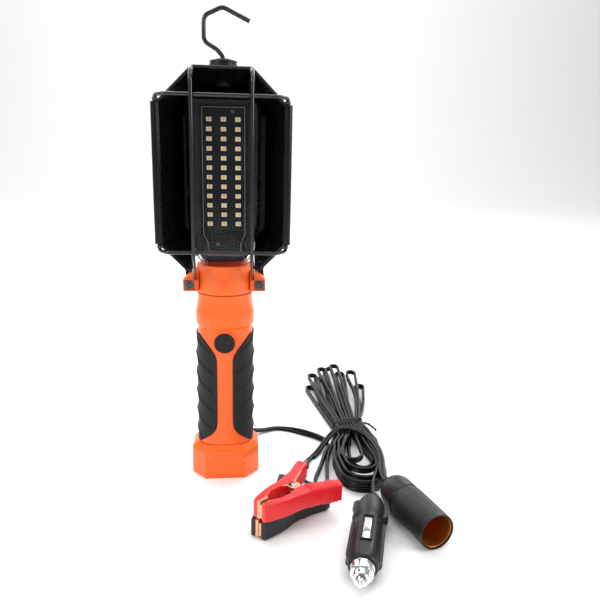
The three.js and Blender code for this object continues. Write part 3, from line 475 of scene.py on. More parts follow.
def add_grain(tree: bpy.types.NodeTree, shader: bpy.types.Node, values: dict, bump: float,
        depth: float) -> bpy.types.Node:
    """Let a shader's gloss and fine relief vary over the surface.

    Args:
        tree: The material's nodes.
        shader: Its Principled BSDF.
        values: The grain group's inputs by name.
        bump: Strength of the relief.
        depth: Height of the relief, in metres.

    Returns:
        The grain group's node.
    """
    grain = tree.nodes.new("ShaderNodeGroup")
    grain.node_tree = GROUPS["surface_grain"]
    for name, value in values.items():
        grain.inputs[name].default_value = value
    tree.links.new(grain.outputs["Roughness"], shader.inputs["Roughness"])
    relief = tree.nodes.new("ShaderNodeBump")
    relief.inputs["Strength"].default_value = bump
    relief.inputs["Distance"].default_value = depth
    tree.links.new(grain.outputs["Height"], relief.inputs["Height"])
    tree.links.new(relief.outputs[0], shader.inputs["Normal"])
    return grain


@dataclass(frozen=True)
class Finish:
    """A finish whose colour, gloss and grain vary over the surface."""

    name: str
    colour: tuple
    tint: tuple
    roughness: float
    metallic: float = 0.0
    tint_amount: float = 0.35
    drift: float = 45.0
    spread: float = 0.12
    grain: float = 2600.0
    bump: float = 0.08
    wear: Wear = Wear.NONE
    worn_colour: tuple = (0.6, 0.6, 0.62)
    coat: float = 0.0
    coat_roughness: float = 0.1
    specular: float = 0.5
    bump_depth: float = 0.0003

    def material(self) -> bpy.types.Material:
        """Return the material, built on first use."""
        label = f"{self.name}{FINISH_END}"
        found = bpy.data.materials.get(label)
        if found:
            return found
        made, tree, shader = new_material(label)
        grain = add_grain(tree, shader, {
            "Colour": (*self.colour, 1), "Tint": (*self.tint, 1), "Tint Amount": self.tint_amount,
            "Drift Scale": self.drift, "Roughness": self.roughness, "Roughness Spread": self.spread,
            "Grain Scale": self.grain,
        }, self.bump, self.bump_depth)
        colour = grain.outputs["Colour"]
        if self.wear is not Wear.NONE:
            rub = tree.nodes.new("ShaderNodeGroup")
            rub.node_tree = GROUPS["edge_wear"]
            rub.inputs["Amount"].default_value = self.wear.value
            colour = mix_node(tree, rub.outputs["Mask"], colour, (*self.worn_colour, 1))
        tree.links.new(colour, shader.inputs["Base Color"])
        shader.inputs["Metallic"].default_value = self.metallic
        shader.inputs["Coat Weight"].default_value = self.coat
        shader.inputs["Coat Roughness"].default_value = self.coat_roughness
        shader.inputs["Specular IOR Level"].default_value = self.specular
        return made


@dataclass(frozen=True)
class ClearFinish:
    """A clear moulding that lets light through to what lies behind it."""

    name: str
    colour: tuple = (0.97, 0.985, 1.0)
    roughness: float = 0.04
    haze: float = 0.03
    ior: float = 1.2
    grain: float = 260.0
    bump: float = 0.03
    bump_depth: float = 0.0004

    def material(self) -> bpy.types.Material:
        """Return the material, built on first use."""
        label = f"{self.name}{FINISH_END}"
        found = bpy.data.materials.get(label)
        if found:
            return found
        made, tree, shader = new_material(label)
        shader.inputs["Base Color"].default_value = (*self.colour, 1)
        shader.inputs["Transmission Weight"].default_value = 1.0
        shader.inputs["IOR"].default_value = self.ior
        add_grain(tree, shader, {
            "Roughness": self.roughness, "Roughness Spread": self.haze, "Grain Scale": self.grain,
        }, self.bump, self.bump_depth)
        clear = tree.nodes.new("ShaderNodeBsdfTransparent")
        rays = tree.nodes.new("ShaderNodeLightPath")
        blend = tree.nodes.new("ShaderNodeMixShader")
        tree.links.new(rays.outputs["Is Shadow Ray"], blend.inputs[0])
        tree.links.new(shader.outputs[0], blend.inputs[1])
        tree.links.new(clear.outputs[0], blend.inputs[2])
        tree.links.new(blend.outputs[0], tree.nodes["Material Output"].inputs["Surface"])
        return made


ORANGE = Finish("orange_abs", (0.92, 0.125, 0.008), (0.97, 0.165, 0.014), 0.33, coat=0.12, specular=0.4,
                bump=0.05, wear=Wear.LIGHT, worn_colour=(1.0, 0.45, 0.2), drift=25.0)
# A darkened copy of the orange plastic: painted shade for the shadowed inside of the collar.
PAINTED_SHADE_ORANGE = Finish("orange_abs_painted_shade", (0.48, 0.028, 0.008), (0.58, 0.04, 0.01), 0.5, bump=0.05)
RUBBER = Finish("grip_rubber", (0.011, 0.0114, 0.0125), (0.022, 0.0225, 0.024), 0.6, bump=0.5, grain=1800.0,
                wear=Wear.LIGHT, worn_colour=(0.07, 0.07, 0.072), specular=0.28)
PLASTIC = Finish("black_plastic", (0.010, 0.0104, 0.0115), (0.018, 0.0185, 0.02), 0.38, bump=0.25,
        grain=1500.0, wear=Wear.LIGHT, worn_colour=(0.08, 0.08, 0.085), specular=0.3)
PAINT = Finish("shield_paint", (0.0022, 0.0024, 0.0028), (0.0045, 0.0048, 0.0055), 0.27, bump=0.1,
               grain=900.0, spread=0.14, specular=0.26, wear=Wear.SOME, worn_colour=(0.05, 0.05, 0.055))
WIRE = Finish("guard_wire", (0.005, 0.0052, 0.006), (0.012, 0.0125, 0.014), 0.2, coat=0.3, bump=0.05,
              specular=0.5, wear=Wear.LIGHT, worn_colour=(0.2, 0.2, 0.21))
BOARD = Finish("led_board", (0.0035, 0.0037, 0.0042), (0.006, 0.0063, 0.007), 0.35, bump=0.06, grain=1200.0,
               specular=0.2)
BOARD_INK = Finish("board_ink", (0.5, 0.52, 0.53), (0.38, 0.4, 0.42), 0.55)
LED_CASE = Finish("led_case", (0.86, 0.84, 0.76), (0.92, 0.90, 0.82), 0.4, bump=0.03)
PHOSPHOR = Finish("led_phosphor", (0.95, 0.60, 0.06), (1.0, 0.70, 0.12), 0.45, bump=0.25, grain=3500.0,
        drift=300.0)
STEEL = Finish("zinc_steel", (0.62, 0.63, 0.65), (0.48, 0.49, 0.5), 0.28, 1.0, bump=0.1)
DARK_STEEL = Finish("black_steel", (0.05, 0.05, 0.053), (0.09, 0.09, 0.095), 0.36, 0.8, bump=0.2,
        wear=Wear.SOME, worn_colour=(0.4, 0.4, 0.42))
CHROME = Finish("bright_nickel", (0.8, 0.81, 0.83), (0.66, 0.67, 0.69), 0.13, 1.0, bump=0.03, spread=0.08)
COPPER = Finish("copper_plate", (0.86, 0.42, 0.22), (0.95, 0.58, 0.36), 0.34, 1.0, bump=0.35, grain=1400.0,
                drift=160.0)
LINER = Finish("socket_liner", (0.80, 0.30, 0.05), (0.55, 0.17, 0.025), 0.3, 0.85, tint_amount=0.8,
               drift=140.0, bump=0.1)
RED = Finish("red_vinyl", (0.74, 0.008, 0.012), (0.86, 0.02, 0.022), 0.36, bump=0.12, grain=1100.0,
             coat=0.1, wear=Wear.LIGHT, worn_colour=(0.95, 0.2, 0.2))
CLIP_BLACK = Finish("black_vinyl", (0.012, 0.012, 0.013), (0.022, 0.022, 0.024), 0.4, bump=0.12,
        grain=1100.0, wear=Wear.LIGHT, worn_colour=(0.09, 0.09, 0.09), specular=0.32)
CORD = Finish("cord_pvc", (0.0030, 0.0032, 0.0036), (0.007, 0.0072, 0.008), 0.3, bump=0.08, grain=1600.0,
              drift=70.0, coat=0.04, specular=0.2)
CIRCUIT = Finish("circuit_green", (0.02, 0.13, 0.05), (0.03, 0.18, 0.07), 0.45)
FUSE = Finish("fuse_tube", (0.62, 0.66, 0.66), (0.72, 0.75, 0.75), 0.14, coat=0.6)
WIRE_RED = Finish("wire_red", (0.6, 0.02, 0.02), (0.7, 0.03, 0.03), 0.4)
CLEAR = ClearFinish("clear_lens")


def new_piece(name: str, shape: Shape, finish: object, body: str = "lamp",
              nodes: tuple = (), smooth: float = 38.0) -> bpy.types.Object:
    """Make a piece of the object.

    Args:
        name: Name of the piece.
        shape: Its shape in millimetres, in the row frame.
        finish: Its Finish or ClearFinish.
        body: The body it rides on.
        nodes: The CAD nodes it stands for.
        smooth: Edges sharper than this many degrees stay creased.

    Returns:
        The new object.
    """
    mesh = bpy.data.meshes.new(name)
    mesh.from_pydata([v * MM for v in shape.verts], [], shape.faces)
    mesh.validate()
    mesh.shade_smooth()
    mesh.set_sharp_from_angle(angle=math.radians(smooth))
    mesh.materials.append(finish.material())
    piece = bpy.data.objects.new(name, mesh)
    bpy.context.scene.collection.objects.link(piece)
    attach(piece, body)
    if nodes:
        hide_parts(*nodes)
    LOG.info("made %s: %d faces on %s", name, len(shape.faces), body)
    return piece


def dress(node: str, finish: object) -> None:
    """Give a carried-over CAD node its material."""
    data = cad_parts[node].data
    data.materials.clear()
    data.materials.append(finish.material())
    LOG.info("dressed %s with %s", node, finish.name)


# ----------------------------------------------------------------------
# Studio: camera, floor and lights
# ----------------------------------------------------------------------
@dataclass
class Studio:
    """The camera's place, the pale floor and the soft lights."""

    eye: tuple = (12.2, -421.2, 236.6)
    yaw: float = 5.68
    pitch: float = 14.04
    roll: float = 1.38
    focal: float = 36.0
    backdrop: float = 0.9

    def place_camera(self) -> None:
        """Create the camera, with plain colour management."""
        bpy.context.scene.view_settings.view_transform = "Standard"
        yaw, pitch, roll = (math.radians(a) for a in (self.yaw, self.pitch, self.roll))
        forward = Vector((math.sin(yaw) * math.cos(pitch), math.cos(yaw) * math.cos(pitch), -math.sin(pitch)))
        right = Vector((math.cos(yaw), -math.sin(yaw), 0))
        up = right.cross(forward)
        across = right * math.cos(roll) + up * math.sin(roll)
        rise = up * math.cos(roll) - right * math.sin(roll)
        data = bpy.data.cameras.new("studio_camera")
        data.lens = self.focal
        data.sensor_width = 36.0
        data.clip_start = 0.01
        camera = bpy.data.objects.new("studio_camera", data)
        matrix = Matrix((across, rise, -forward)).transposed().to_4x4()
        matrix.translation = Vector(self.eye) * MM
        camera.matrix_world = matrix
        bpy.context.scene.collection.objects.link(camera)
        bpy.context.scene.camera = camera

    def lay_floor(self) -> None:
        """Create a pale floor that curves up far behind the lamp."""
        half, back, rise = 4.5, 3.4, 2.5
        profile = [(-3.0, 0.0), (back - 1.2, 0.0)]
        profile += [(back - 1.2 + 1.2 * math.sin(a), 1.2 - 1.2 * math.cos(a))
                    for a in (0.2, 0.45, 0.7, 0.95, 1.2, 1.4, 1.57)]
        profile.append((back, rise + 1.2))
        verts = [(side * half, y, z) for y, z in profile for side in (-1, 1)]
        faces = [(2 * i, 2 * i + 1, 2 * i + 3, 2 * i + 2) for i in range(len(profile) - 1)]
        mesh = bpy.data.meshes.new("studio_floor")
        mesh.from_pydata(verts, [], faces)
        mesh.shade_smooth()
        material = bpy.data.materials.new("studio_paper")
        material.use_nodes = True
        shader = material.node_tree.nodes["Principled BSDF"]
        grain = material.node_tree.nodes.new("ShaderNodeGroup")
        grain.node_tree = GROUPS["surface_grain"]
        pale = (self.backdrop, self.backdrop, self.backdrop, 1)
        grain.inputs["Colour"].default_value = pale
        grain.inputs["Tint"].default_value = pale
        grain.inputs["Roughness"].default_value = 0.75
        material.node_tree.links.new(grain.outputs["Colour"], shader.inputs["Base Color"])
        material.node_tree.links.new(grain.outputs["Roughness"], shader.inputs["Roughness"])
        mesh.materials.append(material)
        floor = bpy.data.objects.new("studio_floor", mesh)
        bpy.context.scene.collection.objects.link(floor)

    def hang_lights(self) -> None:
        """Create the soft lights and the world's fill."""
        for name, place, power, size in (
            ("key_softbox", (-0.85, -0.6, 0.75), 7.0, 0.5),
            ("fill_softbox", (0.95, -0.45, 0.5), 5.0, 0.45),
            ("top_softbox", (0.05, 0.1, 1.35), 10.5, 1.3),
            ("rim_softbox", (0.7, 0.8, 0.7), 5.0, 0.6),
            ("back_softbox", (-0.6, 1.1, 0.9), 7.0, 0.9),
            ("backdrop_softbox", (0.0, 1.0, 2.4), 60.0, 2.6),
        ):
            data = bpy.data.lights.new(name, "AREA")
            data.energy = power
            data.size = size
            light = bpy.data.objects.new(name, data)
            light.location = place
            aim = Vector((0.0, 3.2, 0.9) if name == "backdrop_softbox" else (0.03, 0.0, 0.15)) - Vector(place)
            light.rotation_euler = aim.to_track_quat("-Z", "Y").to_euler()
            bpy.context.scene.collection.objects.link(light)
        world = bpy.data.worlds.new("studio_world")
        world.use_nodes = True
        world.node_tree.nodes["Background"].inputs["Color"].default_value = (1, 1, 1, 1)
        world.node_tree.nodes["Background"].inputs["Strength"].default_value = 0.42
        bpy.context.scene.world = world


# ----------------------------------------------------------------------
# Cords
# ----------------------------------------------------------------------
@dataclass
class TwinSection:
    """A flat two-core cord: two round cores side by side with a groove between them."""

    width: float = 5.0
    thickness: float = 2.5
    groove: float = 0.62

    def outline(self, sides: int = 9) -> Profile:
        """Return the section, wide along its first number."""
        radius, shift = self.thickness / 2, self.width / 2 - self.thickness / 2
        spread = math.pi - 0.45
        right = [
            (shift + radius * math.cos(a), radius * math.sin(a))
            for a in (-spread + 2 * spread * i / (sides - 1) for i in range(sides))
        ]
        pinch = radius * self.groove
        left = [(-x, -y) for x, y in right]
        return [(0.0, -pinch), *right, (0.0, pinch), *left]


@dataclass
class LampCord:
    """The lamp's own lead, from the foot's gland through the tied bundle to the lighter plug."""

    section: TwinSection = field(default_factory=TwinSection)
    tie_centre: tuple = (103.0, 50.5)
    tie_turn: float = 15.8
    pitch: float = 2.55
    layers: tuple = (2.68, 7.86)
    centres: tuple = (
        (-54.0, 99.0, 20.0), (-30.0, 100.5, 20.5), (-8.0, 101.0, 22.5), (15.0, 102.0, 20.0),
        (30.0, 104.0, 15.5), (50.5, 103.0, 12.6), (72.0, 104.3, 14.7), (100.0, 105.7, 23.0),
        (136.0, 106.3, 29.5), (152.0, 107.0, 30.0), (200.0, 108.0, 30.0),
    )
    inset: float = 1.5
    lead: tuple = (
        (5.0, 30.6, 15.0, 0.0), (6.0, 36.0, 14.2, 0.1), (11.0, 40.5, 10.6, 0.4), (20.5, 46.0, 5.6, 0.75),
        (31.0, 53.0, 2.3, 1.0), (42.0, 57.0, 1.6, 1.0), (53.0, 54.0, 1.8, 0.8), (64.0, 46.5, 2.5, 0.3),
        (74.0, 38.5, 2.68, 0.0), (80.6, 30.0, 2.68, 0.0), (81.8, 20.5, 2.68, 0.0), (78.8, 10.0, 2.68, 0.0),
        (75.0, -1.0, 2.68, 0.0), (71.0, -14.0, 2.68, 0.0), (66.5, -27.0, 2.68, 0.0), (65.0, -35.5, 2.68, 0.0),
        (67.0, -40.5, 2.68, 0.0), (71.0, -40.0, 2.68, 0.0), (73.6, -34.0, 2.68, 0.0),
        (75.4, -22.0, 2.68, 0.0),
        (77.6, -6.0, 2.68, 0.0), (81.0, 8.0, 2.68, 0.0), (85.2, 22.0, 2.68, 0.0), (88.6, 34.0, 2.68, 0.0),
    )
    tail: tuple = (
        (119.6, 6.0, 7.9), (117.2, -10.0, 8.2), (112.6, -26.0, 8.8), (107.6, -39.0, 9.4), (104.0, -49.0, 9.9),
        (102.0, -57.5, 10.3), (100.3, -66.0, 10.3),
    )
    step: float = 2.2

    def column(self, y: float, q: float, layer: int) -> Vector:
        """Return where a run of the bundle is, at a depth and a place across it.

        Args:
            y: Depth along the bundle.
            q: -1 at the left edge to 1 at the right edge, as the runs pass the tie.
            layer: 0 on the floor, 1 on top of it.

        Returns:
            The point, with the layer's height.
        """
        table = self.centres
        y0, c0, h0 = max((r for r in table if r[0] <= y), default=table[0], key=lambda r: r[0])
        y1, c1, h1 = min((r for r in table if r[0] >= y), default=table[-1], key=lambda r: r[0])
        t = 0.0 if y1 == y0 else (y - y0) / (y1 - y0)
        t = t * t * (3 - 2 * t)
        centre, half = c0 + (c1 - c0) * t, h0 + (h1 - h0) * t - self.inset
        tie_y = self.tie_centre[1] + q * 3.2
        away = min(1.0, abs(y - tie_y) / 62.0)
        away = away * away * (3 - 2 * away)
        spread = math.copysign(0.35 + 0.65 * abs(q), q)
        place = q + (spread - q) * away
        sway = 0.0 if layer == 0 else 1.3 * math.sin((y - tie_y) / 24.0) * (1 - abs(q)) * away
        return Vector((centre + half * place + sway, y, self.layers[layer]))

    def run(self, slot: int, layer: int, y0: float, y1: float) -> list:
        """Return points of one run of the near lobe between two depths."""
        count = 8
        q = self.place_of(slot)
        return [self.column(y0 + (y1 - y0) * i / (count - 1), q, layer) for i in range(count)]

    def place_of(self, slot: int) -> float:
        """Return how far across the bundle one of the runs passes the tie."""
        return (slot - 4.5) * self.pitch / 11.25

    def at_tie(self, slot: int, layer: int) -> Vector:
        """Return where a run passes the tie."""
        turn = math.radians(self.tie_turn)
        u = (slot - 4.5) * self.pitch
        return Vector((self.tie_centre[0] + u * math.cos(turn), self.tie_centre[1] + u * math.sin(turn),
                       self.layers[layer]))

    def fold(self, up: tuple, down: tuple, tip: tuple) -> list:
        """Return the far loop from one run to the next, folded tightly at its tip.

        Args:
            up: Slot and layer of the run that goes out.
            down: Slot and layer of the run that comes back.
            tip: X and Y of the middle of the fold, its radius and how far the loop bows aside.

        Returns:
            Points from the tie to the tip and back.
        """
        start, end = self.at_tie(*up), self.at_tie(*down)
        middle = (start + end) / 2
        x, y, radius, bow = tip
        axis = Vector((x - middle.x, y - middle.y, 0))
        length = axis.length
        axis.normalize()
        across = Vector((axis.y, -axis.x, 0))
        side = 1.0 if (end - start).dot(across) > 0 else -1.0
        half = (end - start).dot(across) / 2
        zs = (self.layers[up[1]], self.layers[down[1]])

        def on_leg(t: float, way: float) -> Vector:
            """Return a point of one leg at a share of the loop's length."""
            widen = max(0.0, (t - 0.42) / 0.58)
            widen = widen * widen * (3 - 2 * widen)
            reach = abs(half) + (radius - abs(half)) * widen
            point = middle + axis * (length * t) + across * (way * side * reach
                    + bow * math.sin(math.pi * t) ** 2)
            point.z = zs[0] if way < 0 else zs[1]
            return point

        shares = (0.0, 0.12, 0.24, 0.36, 0.5, 0.64, 0.77, 0.89)
        out = [on_leg(t, -1) for t in shares]
        for i in range(9):
            a = math.pi * i / 8
            point = middle + axis * (length + 1.25 * radius * math.sin(a)) + across * (
                -side * radius * math.cos(a))
            lift = (1 - math.cos(a)) / 2
            point.z = zs[0] + (zs[1] - zs[0]) * lift
            out.append(point)
        return out + [on_leg(t, 1) for t in reversed(shares)]

    def near_loop(self, down: tuple, up: tuple, shape: tuple) -> list:
        """Return the near loop from one run to the next.

        Args:
            down: Slot and layer of the run that comes from the tie.
            up: Slot and layer of the run that goes back to it.
            shape: Y where the bend starts, its length as a share of its width, and its push aside.

        Returns:
            Points between the tie and the tie, without its own.
        """
        y, stretch, push = shape
        tie_y = self.at_tie(*down).y, self.at_tie(*up).y
        leg = self.run(*down, tie_y[0], y)[1:]
        back = self.run(*up, y, tie_y[1])[:-1]
        for line in (leg, back[::-1]):
            for i, point in enumerate(line):
                point.x += push * ((i + 1) / len(line)) ** 2
        first, last = leg[-1], back[0]
        middle, half = (first + last) / 2, (last - first) / 2
        bend = []
        for i in range(1, 9):
            a = math.pi * i / 9
            point = middle - half * math.cos(a)
            point.y -= stretch * abs(half.x) * math.sin(a)
            bend.append(point)
        return leg + bend + back

    def centre_line(self) -> list:
        """Return the cord's points, each with how far it lies flat there."""
        far = (
            ((0, 0), (1, 0), (80.8, 140.0, 4.1, -1.5)), ((8, 0), (7, 0), (131.0, 142.0, 4.3, 4.0)),
            ((2, 0), (3, 0), (91.8, 163.0, 4.0, -1.0)), ((6, 0), (5, 0), (116.5, 178.0, 4.2, 1.5)),
            ((4, 0), (5, 1), (103.8, 183.0, 4.1, 0.5)), ((4, 1), (3, 1), (97.0, 178.0, 4.0, 0.0)),
            ((6, 1), (7, 1), (111.2, 187.0, 4.1, 1.0)), ((2, 1), (1, 1), (84.8, 160.0, 4.0, -2.0)),
            ((8, 1), (9, 1), (126.5, 168.0, 4.3, 2.5)),
        )
        near = (
            (-27.0, 1.1, 0.0), (-24.0, 1.0, 1.5), (-18.0, 1.15, 2.5), (-4.0, 1.5, 3.5),
            (-2.0, 1.3, -3.5), (-14.0, 1.2, 2.0), (-26.0, 0.95, 1.0), (-29.0, 1.05, 0.0),
        )
        bundle = []
        for i, (up, down, tip) in enumerate(far):
            bundle += self.fold(up, down, tip)
            if i < len(near):
                bundle += self.near_loop(down, far[i + 1][0], near[i])
        bundle += self.run(9, 1, self.at_tie(9, 1).y, 18.0)[1:]
        points = [Vector(p) for p in self.lead]
        points += [Vector((*p, 0.0)) for p in bundle]
        points += [Vector((*p, 0.0)) for p in self.tail]
        return points

    def build(self, with_pieces: list) -> bpy.types.Object:
        """Args:
            with_pieces: The plug's pieces, at its far end. Not used.

        Returns:
            The cord's piece.
        """
        line = smooth_path(self.centre_line(), self.step)
        centre = [Vector(p[:3]) for p in line]
        wide = []
        for i in range(len(centre)):
            ahead = centre[min(i + 1, len(centre) - 1)] - centre[max(i - 1, 0)]
            level = Vector((-ahead.y, ahead.x, 0)).normalized()
            lean = max(0.0, min(1.0, line[i][3])) * math.pi / 2
            wide.append(Vector((0, 0, 1)) * math.cos(lean) + level * math.sin(lean))
        shape = sweep(centre, self.section.outline(), wide)
        cord = new_piece("lamp_cord", shape, CORD,
                nodes=("lamp_lead", "hank", "plug_lead", "adapter_bight"), smooth=50)
        return cord


@dataclass
class KitCords:
    section: TwinSection = field(default_factory=TwinSection)
    core: float = 1.25
    route: tuple = (
        (113.1, -50.3, 12.2), (112.6, -44.0, 12.3), (113.6, -34.0, 12.0), (116.4, -21.0, 11.9),
        (117.8, -6.0, 11.8),
        (116.4, 9.0, 11.8), (112.2, 22.0, 11.8), (105.0, 31.0, 12.0), (97.0, 33.6, 12.0), (90.6, 32.0, 11.6),
        (86.0, 28.4, 9.6), (81.2, 23.4, 6.9), (76.4, 17.4, 4.2), (71.6, 11.2, 2.0), (67.3, 5.2, 1.5),
    )
    red_route: tuple = (
        (67.3, 5.2, 1.5), (65.2, 1.6, 1.6), (62.8, -4.5, 2.6), (60.7, -13.0, 6.5), (59.4, -22.0, 12.5),
        (58.6, -31.0, 18.0), (58.2, -39.5, 20.5), (57.6, -44.0, 20.6),
    )
    black_route: tuple = (
        (66.2, 5.6, 1.35), (63.4, 2.0, 1.3), (59.0, -5.0, 1.3), (56.6, -14.0, 1.3), (56.2, -23.0, 1.5),
        (58.4, -32.0, 2.4), (62.6, -39.0, 4.4), (67.0, -44.4, 6.2), (70.9, -49.2, 6.8), (72.6, -52.6, 6.8),
    )

    def build(self) -> None:
        line = smooth_path(self.route, 1.8)
        wide = []
        for i in range(len(line)):
            ahead = line[min(i + 1, len(line) - 1)] - line[max(i - 1, 0)]
            wide.append(Vector((-ahead.y, ahead.x, 0)))
        shape = sweep(line, self.section.outline(), wide)
        cord = new_piece("adapter_cord", shape, CORD, nodes=("socket_lead", "adapter_lead"),
                smooth=50)
        for colour, route, node in (("red", self.red_route, "lead_red"),
                ("black", self.black_route, "lead_black")):
            line = smooth_path(route, 1.5)
            core = new_piece(f"{colour}_clip_cord", sweep(line, circle(self.core)), CORD,
                    nodes=(node,))


@dataclass
class CordTie:
    """A thin wire tie round the bundle, with its twisted ends curling away."""

    centre: tuple = (103.0, 50.5)
    turn: float = 15.8
    half: float = 13.6
    low: float = 0.7
    high: float = 11.6
    wire: float = 0.65

    def build(self) -> None:
        """Make the tie."""
        loop = []
        count = 44
        for i in range(count):
            a = TURN * i / count
            power = 0.42
            u = self.half * math.copysign(abs(math.cos(a)) ** power, math.cos(a))
            middle, reach = (self.low + self.high) / 2, (self.high - self.low) / 2
            w = middle + reach * math.copysign(abs(math.sin(a)) ** power, math.sin(a))
            loop.append((u, 0.5 * math.sin(2 * a), w))
        matrix = Matrix.Translation((*self.centre, 0)) @ Matrix.Rotation(math.radians(self.turn), 4, "Z")
        loop = [matrix @ Vector(p) for p in loop]
        section = circle(self.wire, 8)
        band = sweep([*loop, loop[0], loop[1]], section)
        start = matrix @ Vector((self.half, 0, 6.8))
        tails = []
        for phase in (0.0, math.pi):
            path = []
            for i in range(30):
                t = i / 29
                core = start + Vector((11.0 * t, -1.0 - 13.0 * t + 7.0 * t * t,
                        -2.4 * t + 1.6 * math.sin(3.2 * t)))
                core += Vector((0, 3.4 * math.sin(5.2 * t) * t, 0))
                a = phase + 15 * t
                path.append(core + Vector((0, 0.62 * math.cos(a), 0.62 * math.sin(a))))
            tails.append(sweep(path, circle(0.55, 8)))
        new_piece("bundle_tie", band.plus(*tails), PLASTIC, nodes=("cable_tie",))


# ----------------------------------------------------------------------
# Handle
# ----------------------------------------------------------------------
def superellipse(angle: float, half_width: float, half_depth: float, power: float) -> tuple:
    """Return the point of a superellipse at an angle from +X."""
    c, s = math.cos(angle), math.sin(angle)
    reach = (abs(c / half_width) ** power + abs(s / half_depth) ** power) ** (-1 / power)
    return reach * c, reach * s


@dataclass
class Foot:
    """The eight-sided foot block with its facets."""

    half_width: float = 24.4
    half_depth: float = 20.4
    front_half: float = 14.6
    side_half: float = 9.0
    wall_top: float = 21.0
    top: float = 25.0
    inset: float = 3.6
    gland_x: float = 5.0
    gland_z: float = 15.0

    def octagon(self, inset: float, z: float, radius: float = 1.4) -> list:
        """Return the outline at a height, with its corners rounded."""
        corners = [
            (self.half_width - inset, -self.side_half + inset / 2),
            (self.half_width - inset, self.side_half - inset / 2),
            (self.front_half - inset / 2, self.half_depth - inset),
            (-self.front_half + inset / 2, self.half_depth - inset),
            (-self.half_width + inset, self.side_half - inset / 2),
            (-self.half_width + inset, -self.side_half + inset / 2),
            (-self.front_half + inset / 2, -self.half_depth + inset),
            (self.front_half - inset / 2, -self.half_depth + inset),
        ]
        return [(x, y, z) for x, y in softened(corners, radius, 4, True)]

    def build(self) -> None:
        """Make the foot, its front arch and the lead's gland."""
        levels = [(1.1, 0.0), (0.3, 0.35), (0.0, 1.1), (0.0, 7.0), (0.0, 14.0), (0.0, self.wall_top - 0.7),
                  (0.25, self.wall_top), (0.9, self.wall_top + 0.75)]
        levels += [(self.inset - 0.5, self.top - 0.55), (self.inset, self.top - 0.15),
                   (self.inset + 0.7, self.top)]
        body = loft([self.octagon(inset, z) for inset, z in levels])
        rims = []
        for side in (-1, 1):
            facet = [(side * 16.4, 13.0), (side * 15.3, 12.3), (side * 9.2, 17.2), (side * 10.0, 18.4)]
            if side > 0:
                facet = facet[::-1]
            rims.append(upright(softened(facet, 0.5, 2, True), -self.half_depth - 0.35,
                    -self.half_depth + 3.2, 0.25))
        brow = [(-9.4, 19.6), (9.4, 19.6), (7.2, 20.8), (3.4, 21.5), (-3.4, 21.5), (-7.2, 20.8)]
        rims.append(upright(softened(brow, 0.6, 2, True), -self.half_depth - 0.3, -self.half_depth + 2.0,
                0.25))
        new_piece("foot", body.plus(*rims), ORANGE, nodes=("base_cap",))
        collar = [(5.7, self.half_depth - 0.4), (5.7, self.half_depth + 1.5), (5.2, self.half_depth + 2.0),
                  (4.1, self.half_depth + 2.3)]
        steps = 4
        for i in range(steps):
            y = self.half_depth + 2.5 + i * 1.65
            r = 4.0 - 0.22 * i
            collar += [(r, y), (r, y + 0.95), (r - 0.5, y + 1.05), (r - 0.5, y + 1.55)]
        collar += [(3.0, self.half_depth + 9.2), (2.7, self.half_depth + 9.5)]
        gland = lathe(softened(collar, 0.12, 1), 32).moved(facing_front(self.gland_x, self.gland_z))
        new_piece("lead_gland", gland, RUBBER, nodes=("cord_gland",))


